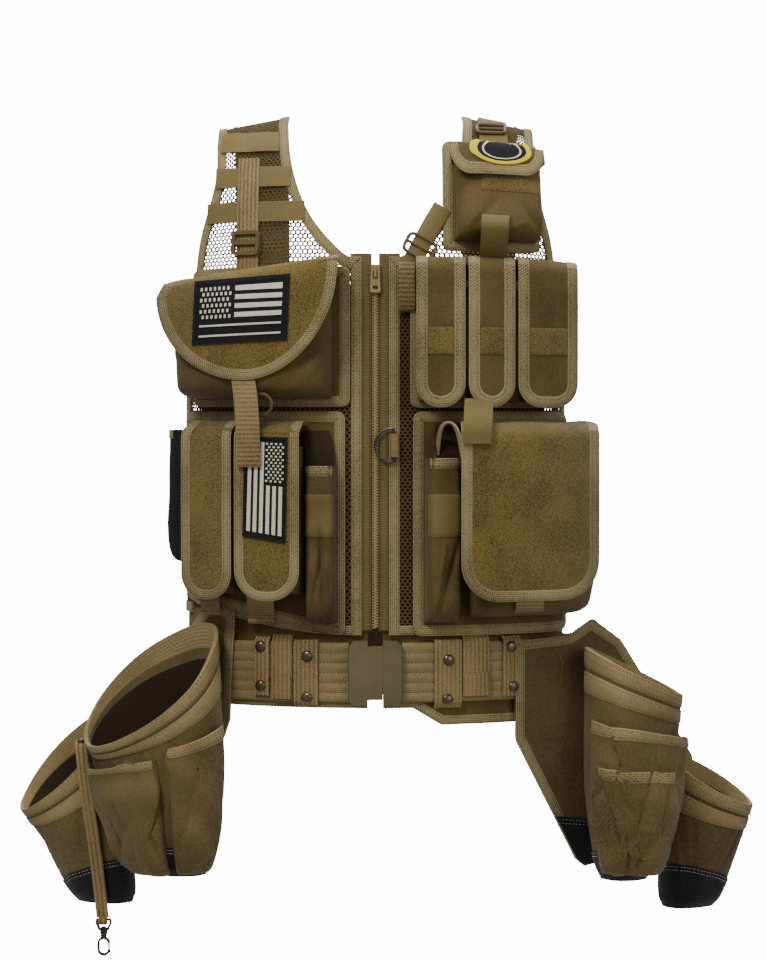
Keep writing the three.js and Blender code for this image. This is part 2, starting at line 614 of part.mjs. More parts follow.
// Left belly: two long pouches under round-footed flaps, and an open tool pocket beside them
const BELLY_LEFT = { x0: -200, x1: -31, z0: BELLY_FOOT_Z, z1: BELLY_TOP_Z };
add("belly_base_left", "cloth", basePlate(BELLY_LEFT.x0, BELLY_LEFT.x1, BELLY_LEFT.z0, BELLY_LEFT.z1, 8, 40));
const LONG_POUCH = { foot: HEM_Z + 42, mouth: BELLY_MOUTH_Z, depth: 38, hinge: BELLY_HINGE_Z, tip: HEM_Z + 37 };
[
  { x0: -173, x1: -132, flapX0: -203, flapX1: -149 },
  { x0: -128.5, x1: -71.5, flapX0: -146, flapX1: -78 },
].forEach(({ x0, x1, flapX0, flapX1 }, i) => {
  add("long_pouch_" + (i + 1), "cloth", frontPouch(x0, x1, LONG_POUCH.foot, LONG_POUCH.mouth, LONG_POUCH.depth));
  const outline = roundFoot(flapX0, flapX1, LONG_POUCH.hinge + 30, LONG_POUCH.tip, 24);
  const reach = LONG_POUCH.depth + FLAP_CLEAR;
  const place = { x0: x0 - 5, x1: x1 + 4.5, hingeZ: LONG_POUCH.hinge, tipZ: LONG_POUCH.tip - 4, reach };
  add("long_flap_" + (i + 1), "loop_pile", flap(outline, place));
});

// An open tool pocket stands beside the belly's pouches on each side
function toolPocket({ x0, x1, foot, mouth, depth }) {
  return frontPouch(x0, x1, foot, mouth, depth);
}
add("tool_pocket_left", "cloth", toolPocket(TOOL_POCKET_LEFT));

// Left shoulder: three bands of webbing across, one strap down over them and its buckle
const BANDS = [
  { z: -33, x0: -162, x1: -101 },
  { z: -71, x0: -166, x1: -88 },
  { z: -108, x0: -174, x1: -74 },
];
BANDS.forEach(({ z, x0, x1 }, i) => {
  const [low, high] = [z - BAND_DROP, z + BAND_DROP];
  const outline = new THREE.Shape(points2([[x0, low], [x1, low], [x1, high], [x0, high]]));
  add("shoulder_band_" + (i + 1), "webbing", layer(outline, BASE_OUT, BASE_OUT + WEBBING));
});
const STRAP_OUT = BASE_OUT + WEBBING + LAYER_GAP;
const STRAP = { x0: -144, x1: -118.6, z0: -164, z1: -52 };
const strapOutline = new THREE.Shape(
  points2([[STRAP.x0, STRAP.z0], [STRAP.x1, STRAP.z0], [STRAP.x1, STRAP.z1], [STRAP.x0, STRAP.z1]]),
);
add("shoulder_strap", "webbing", layer(strapOutline, STRAP_OUT, STRAP_OUT + WEBBING));

// A rectangle with round corners, about its middle
function roundRectangle(width, height, corner) {
  const [a, b] = [width / 2, height / 2];
  const shape = new THREE.Shape();
  shape.moveTo(-a + corner, -b);
  shape.lineTo(a - corner, -b);
  shape.quadraticCurveTo(a, -b, a, -b + corner);
  shape.lineTo(a, b - corner);
  shape.quadraticCurveTo(a, b, a - corner, b);
  shape.lineTo(-a + corner, b);
  shape.quadraticCurveTo(-a, b, -a, b - corner);
  shape.lineTo(-a, -b + corner);
  shape.quadraticCurveTo(-a, -b, -a + corner, -b);
  return shape;
}

// The frame of axes on the body's front at x and z: across, up and outwards
function placeOnBody(geometry, x, z, out) {
  const at = body.at(girthAt(x), heightAt(z, x), out);
  const outward = body.at(girthAt(x), heightAt(z, x), out + 1).sub(at).normalize();
  const across = new THREE.Vector3(0, 0, 1).cross(outward).normalize();
  const upward = outward.clone().cross(across);
  return geometry.applyMatrix4(new THREE.Matrix4().makeBasis(across, upward, outward).setPosition(at));
}

// A slide buckle: a rounded frame with a bar across its middle
function slideBuckle({ width, height, thickness, rim, z }, x, out) {
  const outline = roundRectangle(width, height, 1.2 * rim);
  const solid = new THREE.ExtrudeGeometry(outline, { depth: thickness, bevelEnabled: false, curveSegments: 2 });
  let frame = toSolid(solid);
  for (const side of [-1, 1]) {
    const [near, far] = [rim / 2, height / 2 - rim];
    const [low, high] = side > 0 ? [near, far] : [-far, -near];
    frame = frame.subtract(block(-width / 2 + rim, low, -1, width / 2 - rim, high, thickness + 1));
  }
  return placeOnBody(toGeometry(frame), x, z, out);
}
const BUCKLE_OUT = STRAP_OUT + WEBBING + 2 * LAYER_GAP;
add("shoulder_buckle", "tan_plastic", slideBuckle(SLIDE_BUCKLE, (STRAP.x0 + STRAP.x1) / 2, BUCKLE_OUT));

// Right shoulder: a small pouch with its own flap
add("radio_base", "cloth", basePlate(70, 172, -150, -34));
add("radio_pouch", "cloth", frontPouch(RADIO.x0, RADIO.x1, RADIO.foot, RADIO.mouth, RADIO.depth));
add(
  "radio_flap",
  "cloth",
  flap(roundFoot(78, 184, 10, RADIO.tip, 26), {
    x0: RADIO.x0, x1: 166, hingeZ: RADIO.hinge, tipZ: RADIO.tip - 4, reach: RADIO.depth + FLAP_CLEAR,
  }),
);

// Right chest: three narrow pouches under long flaps
add("chest_base_right", "cloth", basePlate(36, 197, BELLY_TOP_Z + 4, NECK_BASE_Z));
const CELL = { foot: BELLY_TOP_Z + 10, mouth: -182, depth: 30, hinge: -164, tip: BELLY_TOP_Z + 4 };
[
  [42, 92],
  [96, 143],
  [147, 192],
].forEach(([x0, x1], i) => {
  add("cell_pouch_" + (i + 1), "cloth", frontPouch(x0 + 2, x1 - 2, CELL.foot, CELL.mouth, CELL.depth));
  const outline = roundFoot(x0, i === 2 ? x1 + 24 : x1 + 1.5, CELL.hinge + 30, CELL.tip, 23);
  const place = { x0: x0 - 1, x1: x1 + 0.5, hingeZ: CELL.hinge, tipZ: CELL.tip - 4, reach: CELL.depth + FLAP_CLEAR };
  add("cell_flap_" + (i + 1), "cloth", flap(outline, place));
});

// Right belly: one large pouch under a square flap, and a narrow tool pocket beside it
add("belly_base_right", "cloth", basePlate(39, 202, BELLY_FOOT_Z, BELLY_TOP_Z));
add("large_pouch", "cloth", frontPouch(LARGE.x0, LARGE.x1, LARGE.foot, LARGE.mouth, LARGE.depth));
add(
  "large_flap",
  "loop_pile",
  flap(roundFoot(86, 240, BELLY_TOP_Z + 16, LARGE.tip, 34), {
    x0: 86, x1: 199, hingeZ: BELLY_HINGE_Z, tipZ: LARGE.tip - 4, reach: LARGE.depth + FLAP_CLEAR,
  }),
);
add("tool_pocket_right", "cloth", toolPocket(TOOL_POCKET_RIGHT));

// Side pouches: slim sleeves on the back panel's flanks
const { from: u0, to: u1, foot: v0, mouth: v1, depth: sideDepth } = SIDE_POUCH;
const sidePouch = pouch(body, { u0, u1, v0, v1, depth: sideDepth, seat: LAYER_GAP, wall: CLOTH });
add("side_pouch_right", "black_cloth", sidePouch);
add("side_pouch_left", "black_cloth", mirrored(sidePouch));

// The D-ring and the webbing sleeve that holds it beside the zip
const RING_WIRE = 1.6;
const RING_AT = { x: 20, z: -351, half: 17, bow: 20 };
const SLEEVE = { x: 5, y: 4.1, width: 24 };
const ringY = body.at(girthAt(RING_AT.x), RING_AT.z, CLOTH + LAYER_GAP).y - SLEEVE.y;
function dRing() {
  const { half, bow } = RING_AT;
  const curve = new THREE.CatmullRomCurve3(
    [[0, half - 3], [-1, half], [-bow * 0.4, half * 0.98], [-bow * 0.86, half * 0.6], [-bow, 0]]
      .concat([[-bow * 0.86, -half * 0.6], [-bow * 0.4, -half * 0.98], [-1, -half], [0, -half + 3], [0, 0]])
      .map(([x, z]) => new THREE.Vector3(x, 0, z)),
    true,
  );
  return tubeRing(curve, RING_WIRE, 24, 6);
}

// A closed ring of wire along a closed curve
function tubeRing(curve, radius, around, sides) {
  const points = [];
  const frames = curve.computeFrenetFrames(around, true);
  upTo(around).forEach((i) => {
    const at = curve.getPoint(i / around);
    upTo(sides).forEach((k) => {
      const angle = (2 * Math.PI * k) / sides;
      points.push(
        at
          .clone()
          .addScaledVector(frames.normals[i], radius * Math.cos(angle))
          .addScaledVector(frames.binormals[i], radius * Math.sin(angle)),
      );
    });
  });
  const faces = [];
  upTo(around).forEach((i) =>
    upTo(sides).forEach((k) => {
      const [n, m] = [((i + 1) % around) * sides, (k + 1) % sides];
      faces.push(i * sides + k, i * sides + m, n + m, i * sides + k, n + m, n + k);
    }),
  );
  return triangles(points, faces);
}
add("d_ring", "gunmetal", dRing()).position.set(RING_AT.x, ringY, RING_AT.z);
function ringTab() {
  const sleeve = new THREE.Shape();
  sleeve.absellipse(0, 0, SLEEVE.x, SLEEVE.y, 0, 2 * Math.PI);
  sleeve.holes.push(new THREE.Path().absellipse(0, 0, RING_WIRE + 1, RING_WIRE + 0.6, 0, 2 * Math.PI));
  const made = new THREE.ExtrudeGeometry(sleeve, { depth: SLEEVE.width, bevelEnabled: false, curveSegments: 8 });
  return made.translate(0, 0, -SLEEVE.width / 2);
}
add("d_ring_tab", "webbing", ringTab()).position.set(RING_AT.x, ringY, RING_AT.z);

// The belt lies on its pad below the hem, and its ends meet in the buckle
const padOut = -LAYER_GAP - WEBBING - LAYER_GAP;
const beltOut = padOut + LAYER_GAP;
const beltEnd = BUCKLE_WIDTH / 2 + FIT_GAP;
const roundLines = [...quarterLines, ...quarterLines.slice(0, -1).reverse().map((s) => 2 * HALF_GIRTH - s)];
const wrapped = (s) => (s > HALF_GIRTH ? s - 2 * HALF_GIRTH : s);
function beltBand(foot, top, low, high, end) {
  const columns = Facets.columns(roundLines, end, 2 * HALF_GIRTH - end);
  const grid = (out) => [foot, () => top].map((h) => columns.map((s) => body.at(wrapped(s), h(s), out)));
  return wallBetween(grid(high), grid(low));
}
const beltFoot = BELT_TOP_Z - BELT_WIDTH;
const padDrop = (s) => (s > PAD_DROP_FROM && s < PAD_DROP_TO ? BELT_PAD_DROP : 0);
add("belt_pad", "cloth", beltBand((s) => BELT_PAD_FOOT_Z - padDrop(s), BELT_PAD_TOP_Z, padOut - PAD, padOut, 8));
add("belt", "webbing", beltBand(() => beltFoot, BELT_TOP_Z, beltOut, beltOut + BELT_THICKNESS, beltEnd));

// The buckle's socket takes the plug's tongue, and its notches above and below are for the thumbs
const beltMiddle = BELT_TOP_Z - BELT_WIDTH / 2;
const buckleBack = body.at(0, BELT_TOP_Z, 0).y + BUCKLE_BACK;
const buckleFace = buckleBack - BUCKLE_THICKNESS;
function buckleHalf(side, x0, x1) {
  const outline = new THREE.Shape();
  const half = BUCKLE_HEIGHT / 2;
  outline.moveTo(x1, -half);
  outline.lineTo(x0 + side * BUCKLE_CORNER, -half);
  outline.lineTo(x0, -half + BUCKLE_CORNER);
  outline.lineTo(x0, half - BUCKLE_CORNER);
  outline.lineTo(x0 + side * BUCKLE_CORNER, half);
  outline.lineTo(x1, half);
  const made = new THREE.ExtrudeGeometry(outline, { depth: BUCKLE_THICKNESS, bevelEnabled: false });
  return toSolid(made.rotateX(Math.PI / 2).translate(0, buckleBack, beltMiddle));
}
const buckleEdge = BUCKLE_WIDTH / 2;
const buckleSplit = BUCKLE_WIDTH * 0.14;
const inBuckle = (x0, x1, inset, half) =>
  block(x0, buckleFace + inset, beltMiddle - half, x1, buckleBack - inset, beltMiddle + half);
function buckleSocket() {
  const { reach, half, wall } = TONGUE;
  const hollow = inBuckle(buckleSplit - reach - 1, buckleSplit + 1, wall, half + FIT_GAP);
  let socket = buckleHalf(1, -buckleEdge, buckleSplit).subtract(hollow);
  for (const up of [-1, 1]) {
    const edge = beltMiddle + (up * BUCKLE_HEIGHT) / 2;
    const cut = block(-NOTCH.half, buckleFace - 1, edge - NOTCH.deep, NOTCH.half, buckleBack + 1, edge + NOTCH.deep);
    socket = socket.subtract(cut);
  }
  return socket;
}
function bucklePlug() {
  const start = buckleSplit + FIT_GAP;
  const tongue = inBuckle(buckleSplit - TONGUE.reach, start + 1, TONGUE.wall + FIT_GAP, TONGUE.half);
  return buckleHalf(-1, buckleEdge, start).add(tongue);
}
add("buckle_socket", "olive_plastic", buckleSocket());
add("buckle_plug", "olive_plastic", bucklePlug());

// A tool bag is a cup whose mouth slants down to its front; rows are shares of the bag's sizes, foot first
const DEEP_BAG = [
  { up: 0, width: 0.44, depth: 0.5, slant: 0 },
  { up: 0.1, width: 0.58, depth: 0.8, slant: 0.02 },
  { up: 0.4, width: 0.84, depth: 0.98, slant: 0.12 },
  { up: 0.68, width: 0.95, depth: 1, slant: 0.36 },
  { up: 0.88, width: 0.98, depth: 1, slant: 0.78 },
  { up: 1, width: 1, depth: 1, slant: 1 },
];
const SHALLOW_BAG = [
  { up: 0, width: 0.6, depth: 0.52, slant: 0 },
  { up: 0.12, width: 0.74, depth: 0.8, slant: 0.03 },
  { up: 0.5, width: 0.9, depth: 1, slant: 0.25 },
  { up: 0.82, width: 0.98, depth: 1, slant: 0.72 },
  { up: 1, width: 1, depth: 1, slant: 1 },
];
const BAG_SIDES = 16;
const BAG_POWER = 0.86;
const squared = (value) => Math.sign(value) * Math.abs(value) ** BAG_POWER;

// side is -1 for the left bags; u runs round the bag from its back, v up from its foot
function bagSurface(side, bag, rows, middle) {
  const row = (v) => {
    const next = Math.max(1, rows.findIndex((entry) => entry.up >= Math.min(v, 1) - 1e-9));
    const [a, b] = [rows[next - 1], rows[next]];
    const share = (v - a.up) / (b.up - a.up);
    return Object.fromEntries(Object.keys(a).map((key) => [key, between(a[key], b[key], share)]));
  };
  const point = (u, v) => {
    const { up, width, depth, slant } = row(v);
    const across = -squared(Math.sin(2 * Math.PI * u));
    const front = -squared(Math.cos(2 * Math.PI * u));
    const [cos, sin] = [Math.cos(BAG_TURN), side * Math.sin(BAG_TURN)];
    const half = bag.width * width * across;
    const deep = bag.depth * depth * front;
    const x = side * (BODY_HALF_WIDTH + bag.beyond - bag.lean * (1 - up)) + half * cos + deep * sin;
    const y = middle - Math.tan(BAG_TURN) * bag.lean * (1 - up) + half * sin - deep * cos;
    const slope = -side * bag.roll * across - bag.pitch * front;
    return new THREE.Vector3(x, y, BELT_TOP_Z - bag.below - bag.drop * (1 - up) + slant * slope);
  };
  return new Facets(point, steps(0, 1, BAG_SIDES), rows.map((entry) => entry.up), 1);
}

function cup(surface, wall, drop) {
  const ring = (v, out) => surface.us.slice(0, -1).map((u) => surface.at(u, v, out));
  const outer = surface.vs.map((v) => ring(v, 0));
  const inner = surface.vs.map((v) => ring(Math.max(v, wall / drop), -wall)).reverse();
  const rings = [...outer, ...inner];
  const points = rings.flat();
  const count = surface.us.length - 1;
  const faces = [];
  for (let j = 0; j < rings.length - 1; j++) {
    for (let i = 0; i < count; i++) {
      const [a, b] = [j * count + i, j * count + ((i + 1) % count)];
      faces.push(a, b, b + count, a, b + count, a + count);
    }
  }
  for (const [start, turn] of [[0, -1], [(rings.length - 1) * count, 1]]) {
    const sum = new THREE.Vector3();
    for (const p of points.slice(start, start + count)) sum.add(p);
    const middle = points.push(sum.divideScalar(count)) - 1;
    for (let i = 0; i < count; i++) {
      const [a, b] = [start + i, start + ((i + 1) % count)];
      faces.push(middle, ...(turn > 0 ? [a, b] : [b, a]));
    }
  }
  return triangles(points, faces);
}

// The plates hang outside the belt and run out behind the bags
const plateSeat = beltOut + BELT_THICKNESS + LAYER_GAP;
const plateStart = (side) => body.at(girthAt(side * PLATE_START), BELT_TOP_Z, plateSeat);
function plateLine(side, x) {
  const start = plateStart(side);
  return start.y + Math.tan(BAG_TURN) * (Math.abs(x) - Math.abs(start.x));
}

function hangingPlate(side, corners) {
  const start = plateStart(side);
  const first = PLATE_START - Math.abs(start.x);
  const along = corners.map(([out, up]) => [(side * (first + out)) / Math.cos(BAG_TURN), BELT_TOP_Z + up]);
  const shape = new THREE.Shape(points2(side > 0 ? along : along.reverse()));
  const made = new THREE.ExtrudeGeometry(shape, { depth: PLATE_THICKNESS, bevelEnabled: false });
  made.rotateX(Math.PI / 2).rotateZ(side * BAG_TURN);
  return made.translate(start.x, start.y, 0);
}

// A bag's middle lies half its depth and a seat before the plate's face
function bagMiddle(side, bag) {
  const away = bag.depth + BAG_SEAT + PLATE_THICKNESS;
  const footX = BODY_HALF_WIDTH + bag.beyond - Math.sin(BAG_TURN) * away;
  return plateLine(side, footX) - Math.cos(BAG_TURN) * away;
}
// Corners as the distance out from the plate's start and the height over the belt's top
const PLATE_LEFT = [[0, 32], [30, 40], [50, 11], [116, -84], [116, -168], [40, -179], [6, -84]];
const PLATE_RIGHT = [
  [0, 0], [58, 3], [86, 20], [116, -4], [198, -134], [198, -224], [76, -244], [66, -236], [0, -104],
];
add("plate_left", "cloth", hangingPlate(-1, PLATE_LEFT));
add("plate_right", "cloth", hangingPlate(1, PLATE_RIGHT));

function onBag(surface, bag, place) {
  const around = 2 * Math.PI * Math.sqrt((bag.width ** 2 + bag.depth ** 2) / 2);
  const sizes = { seat: POCKET_SEAT, depth: BAG_POCKET_DEPTH, wall: CLOTH, uScale: 1 / around, vScale: 1 / bag.drop };
  return pouch(surface, { ...sizes, ...place });
}

const bagA = bagSurface(-1, BAG_A, DEEP_BAG, bagMiddle(-1, BAG_A));
add("bag_a", "cloth", cup(bagA, BAG_WALL, BAG_A.drop));
add("pocket_a1", "cloth", onBag(bagA, BAG_A, { u0: 0.35, u1: 0.555, v0: 0.03, v1: 0.7 }));
add("pocket_a2", "cloth", onBag(bagA, BAG_A, { u0: 0.585, u1: 0.75, v0: 0.03, v1: 0.74 }));
const bagC = bagSurface(1, BAG_C, DEEP_BAG, bagMiddle(1, BAG_C));
add("bag_c", "cloth", cup(bagC, BAG_WALL, BAG_C.drop));
add("pocket_c1", "cloth", onBag(bagC, BAG_C, { u0: 0.27, u1: 0.66, v0: 0.05, v1: 0.74 }));
const outerSeat = POCKET_SEAT + BAG_POCKET_DEPTH + BAG_SEAT;
add("pocket_c2", "cloth", onBag(bagC, BAG_C, { u0: 0.32, u1: 0.54, v0: 0.07, v1: 0.55, seat: outerSeat, depth: 10 }));

// The outer bags hang beside the inner ones: the left one on its neighbour's flank, the right one on the plate
const bagB = bagSurface(-1, BAG_B, SHALLOW_BAG, bagA.at(0.25, 0.6, BAG_SEAT).y + OUTER_BAG_BACK);
add("bag_b", "cloth", cup(bagB, BAG_WALL, BAG_B.drop));
const bagD = bagSurface(1, BAG_D, SHALLOW_BAG, bagMiddle(1, BAG_D));
add("bag_d", "cloth", cup(bagD, BAG_WALL, BAG_D.drop));

// The lanyard is riveted to the left bag's flank and hangs free, with the hook's eye in its foot
const lanyardTop = bagA.at(0.3, 0.93, BAG_SEAT + 0.46 * LANYARD.width);
const LANYARD_WAY = [
  { down: 0, in: 0, out: 0 },
  { down: 0.06, in: 0.05, out: 0.5 },
  { down: 0.3, in: 0.3, out: 0.9 },
  { down: 0.65, in: 0.7, out: 1 },
  { down: 1, in: 1, out: 1 },
];
const STRAP_HOLE = { x: 2.4, z: 2.6 };
function lanyard() {
  const row = ({ down, in: inward, out }) => [
    lanyardTop.x + inward * LANYARD.lean, lanyardTop.y - out * LANYARD.stand, lanyardTop.z - down * LANYARD.drop,
  ];
  const grid = (back) =>
    LANYARD_WAY.map((entry) => {
      const [x, y, z] = row(entry);
      return [-0.5, 0.5].map((k) => new THREE.Vector3(x + k * LANYARD.width, y + back * LANYARD.thickness, z));
    });
  const strip = wallBetween(grid(0), grid(1));
  const foot = row(LANYARD_WAY.at(-1));
  const loop = new THREE.Shape();
  const wall = LANYARD.thickness;
  loop.absellipse(0, 0, STRAP_HOLE.x + wall, STRAP_HOLE.z + wall, 0, 2 * Math.PI);
  loop.holes.push(new THREE.Path().absellipse(0, 0, STRAP_HOLE.x, STRAP_HOLE.z, 0, 2 * Math.PI));
  const made = new THREE.ExtrudeGeometry(loop, { depth: LANYARD.loop, bevelEnabled: false, curveSegments: 6 });
  made.rotateX(Math.PI / 2).rotateZ(Math.PI / 2);
  const middle = new THREE.Vector3(foot[0], foot[1] + wall / 2, foot[2] - STRAP_HOLE.z - wall / 2);
  made.translate(middle.x - LANYARD.loop / 2, middle.y, middle.z);
  return { solid: strip.add(toSolid(made)), middle };
}
const hung = lanyard();
add("lanyard", "webbing", hung.solid);

// Round bars stand on Z, from a foot to a top
function bar(radius, z0, z1, sides = 12) {
  const made = new THREE.CylinderGeometry(radius, radius, z1 - z0, sides);
  return toSolid(made.rotateX(Math.PI / 2).translate(0, 0, (z0 + z1) / 2));
}
function slab(outline, thickness) {
  const made = new THREE.ExtrudeGeometry(outline, { depth: thickness, bevelEnabled: false, curveSegments: 5 });
  return toSolid(made.rotateX(Math.PI / 2).translate(0, thickness / 2, 0));
}

// The eye's frame holds a collar, in which the hook's stem turns
const eyeFoot = EYE.rim / 2 - EYE.height;
const collarFoot = eyeFoot - COLLAR.height;
function hookEye() {
  const frame = (inset) =>
    new THREE.Shape(
      points2([
        [-EYE.half + inset, EYE.rim / 2 - inset], [-EYE.half + inset, -EYE.shoulder], [-EYE.foot + inset, eyeFoot + inset],
        [EYE.foot - inset, eyeFoot + inset], [EYE.half - inset, -EYE.shoulder], [EYE.half - inset, EYE.rim / 2 - inset],
      ]),
    );
  const window = slab(frame(EYE.rim), EYE.thickness + 2);
  const ring = slab(frame(0), EYE.thickness).subtract(window);
  const collar = bar(COLLAR.radius, collarFoot, eyeFoot + EYE.rim);
  return ring.add(collar).subtract(bar(STEM_RADIUS + FIT_GAP, collarFoot - 1, eyeFoot + EYE.rim + 1));
}
add("hook_eye", "gunmetal", hookEye()).position.copy(hung.middle);

const shoulderTop = collarFoot - FIT_GAP;
const hookTop = shoulderTop - HOOK.shoulder;
const headFoot = eyeFoot + EYE.rim + FIT_GAP;
const pinAt = { x: HOOK.half - HOOK.rim / 2, z: hookTop - GATE.foot };
function hookBody() {
  const { half, height, rim, thickness, shoulder } = HOOK;
  const ring = (inset) => {
    const outline = new THREE.Shape();
    outline.moveTo(-half + inset, -half);
    outline.absarc(0, -half, half - inset, Math.PI, 0, true);
    outline.lineTo(half - inset, -height + half);
    outline.absarc(0, -height + half, half - inset, 0, -Math.PI, true);
    return outline;
  };
  const frame = slab(ring(0), thickness).subtract(slab(ring(rim), thickness + 2));
  const gap = block(0.5, -thickness, -GATE.foot, half + 2, thickness, -GATE.top);
  const hubRoom = GATE.hub + 1.5 * FIT_GAP;
  const slotHalf = GATE.thickness / 2 + FIT_GAP;
  const lower = -GATE.foot;
  const slot = block(pinAt.x - hubRoom - 1, -slotHalf, lower - hubRoom, half + 2, slotHalf, lower + hubRoom);
  const cheek = slab(new THREE.Shape().absarc(pinAt.x, lower, GATE.hub, 0, 2 * Math.PI), thickness);
  const pin = toSolid(
    new THREE.CylinderGeometry(GATE.pin, GATE.pin, thickness - 1, 10).translate(pinAt.x, 0, lower),
  );
  const hook = frame.subtract(gap).add(cheek).subtract(slot).add(pin);
  const neck = bar(STEM_RADIUS, -rim, shoulder + COLLAR.height + EYE.rim + 4 * FIT_GAP);
  const collarRest = bar(COLLAR.radius - 0.6, -rim / 2, shoulder);
  const stemTop = headFoot - hookTop;
  return hook.add(neck).add(collarRest).add(bar(STEM_HEAD.radius, stemTop, stemTop + STEM_HEAD.height));
}
add("hook_body", "gunmetal", hookBody()).position.set(hung.middle.x, hung.middle.y, hung.middle.z + hookTop);

function hookGate() {
  const { hub, pin, width, foot, top, thickness } = GATE;
  const length = foot - top - FIT_GAP;
  const eye = slab(new THREE.Shape().absarc(0, 0, hub, 0, 2 * Math.PI), thickness);
  const arm = block(-width / 2, -thickness / 2, 0, width / 2, thickness / 2, length);
  const hole = toSolid(new THREE.CylinderGeometry(pin + FIT_GAP, pin + FIT_GAP, thickness + 2, 10));
  return eye.add(arm).subtract(hole);
}
add("hook_gate", "gunmetal", hookGate()).position.set(
  hung.middle.x + pinAt.x, hung.middle.y, hung.middle.z + pinAt.z,
);

export default group;
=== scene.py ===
# %% [markdown]
# A work vest is sewn from flat cloth: net panels shaped to the body, plates of heavy cloth on
# them, pouches with flaps, and a padded belt that carries four open tool bags.
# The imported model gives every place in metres. Here each soft solid is replaced by cloth with
# bindings, stitching and folds, and the hard pieces keep their solids with better finishes.
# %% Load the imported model
import math

import bmesh
import bpy
import numpy as np
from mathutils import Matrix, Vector

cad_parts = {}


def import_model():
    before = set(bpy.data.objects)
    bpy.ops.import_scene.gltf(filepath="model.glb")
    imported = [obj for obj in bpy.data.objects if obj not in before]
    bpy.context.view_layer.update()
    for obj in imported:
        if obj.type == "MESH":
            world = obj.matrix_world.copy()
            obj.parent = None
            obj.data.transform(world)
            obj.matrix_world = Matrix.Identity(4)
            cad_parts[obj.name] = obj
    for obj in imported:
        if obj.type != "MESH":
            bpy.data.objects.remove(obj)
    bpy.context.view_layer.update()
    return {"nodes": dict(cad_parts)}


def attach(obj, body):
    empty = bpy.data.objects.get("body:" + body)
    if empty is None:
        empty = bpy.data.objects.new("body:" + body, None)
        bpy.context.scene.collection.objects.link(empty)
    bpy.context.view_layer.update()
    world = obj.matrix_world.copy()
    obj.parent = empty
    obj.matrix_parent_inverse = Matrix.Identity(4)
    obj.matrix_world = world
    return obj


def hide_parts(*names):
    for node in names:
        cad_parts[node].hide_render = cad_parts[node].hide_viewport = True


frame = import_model()
MM = 0.001

# %% [markdown]
# The vest is photographed straight from the front, from about three metres, a little above its
# middle. A long lens from that far keeps the near pouches from growing.
# %% Camera
VIEW_DISTANCE, VIEW_HEIGHT = 3.0, 0.988
AIM = (0.008, -0.15, -0.3865)
CAMERA_RAISED = 0.06
camera_data = bpy.data.cameras.new("photo_camera")
camera_data.lens = camera_data.sensor_width * VIEW_DISTANCE / VIEW_HEIGHT
camera = bpy.data.objects.new("photo_camera", camera_data)
bpy.context.scene.collection.objects.link(camera)
camera.location = (AIM[0], AIM[1] - VIEW_DISTANCE, AIM[2] + CAMERA_RAISED)
camera.rotation_euler = (math.pi / 2 - math.atan2(CAMERA_RAISED, VIEW_DISTANCE), 0, 0)
bpy.context.scene.camera = camera
print("camera lens", round(camera_data.lens, 1))

# %% [markdown]
# Every layer of a worn thing follows the body under it. Measuring along the body instead of in
# X, Y and Z lets one sheet lie on another at a known distance: s runs round the body from the
# middle of the front, h up and over the shoulder, and d outwards.
# %% The body surface
HALF_WIDTH, HALF_DEPTH, SIDE_RADIUS = 205.0, 130.0, 95.0
CHEST_Z, SHOULDER_ARC, SHOULDER_SLOPE, NECK_HALF = -190.0, 250.0, 0.19, 92.0
SHIFT = HALF_WIDTH - SIDE_RADIUS
FRONT_RADIUS = (SHIFT**2 + HALF_DEPTH**2 - SIDE_RADIUS**2) / (2 * (HALF_DEPTH - SIDE_RADIUS))
JOIN = math.atan2(SHIFT, FRONT_RADIUS - HALF_DEPTH)
FRONT_ARC = FRONT_RADIUS * JOIN
HALF_GIRTH = 2 * FRONT_ARC + SIDE_RADIUS * (math.pi - 2 * JOIN)


def oval(s):
    """Four arcs: a wide front arc, a tight side arc, and their mirror images behind."""
    along = np.abs(s)
    behind = along > HALF_GIRTH / 2
    t = np.where(behind, HALF_GIRTH - along, along)
    wide = t < FRONT_ARC
    angle = np.where(wide, t / FRONT_RADIUS, JOIN + (t - FRONT_ARC) / SIDE_RADIUS)
    radius = np.where(wide, FRONT_RADIUS, SIDE_RADIUS)
    x = np.where(wide, 0, SHIFT) + radius * np.sin(angle)
    y = np.where(wide, FRONT_RADIUS - HALF_DEPTH, 0) - radius * np.cos(angle)
    return np.where(s < 0, -x, x), np.where(behind, -y, y)


def rise(x):
    """How far the shoulder stands above the chest line: less, the further out."""
    return -CHEST_Z - SHOULDER_SLOPE * np.maximum(0, np.abs(x) - NECK_HALF)


def body_point(s, h):
    """Below the chest h is the height; above it the front turns back over the shoulder as a quarter wave."""
    x, y = oval(s)
    over = h - CHEST_Z
    turn = np.clip(over / SHOULDER_ARC, 0, 2) * math.pi / 2
    below = np.maximum(0, over - 2 * SHOULDER_ARC)
    z = np.where(over <= 0, h, CHEST_Z + rise(x) * np.sin(turn) - below)
    return np.stack([x, y * np.cos(turn), z], -1)


def unit(v):
    return v / np.maximum(np.linalg.norm(v, axis=-1, keepdims=True), 1e-9)


def body(s, h, d=0.0):
    """The point at s and h, moved d along the outward normal, which is across times up."""
    s, h, d = np.broadcast_arrays(*(np.asarray(value, float) for value in (s, h, d)))
    e = 0.05
    across = body_point(s + e, h) - body_point(s - e, h)
    up = body_point(s, h + e) - body_point(s, h - e)
    return body_point(s, h) + d[..., None] * unit(np.cross(across, up))


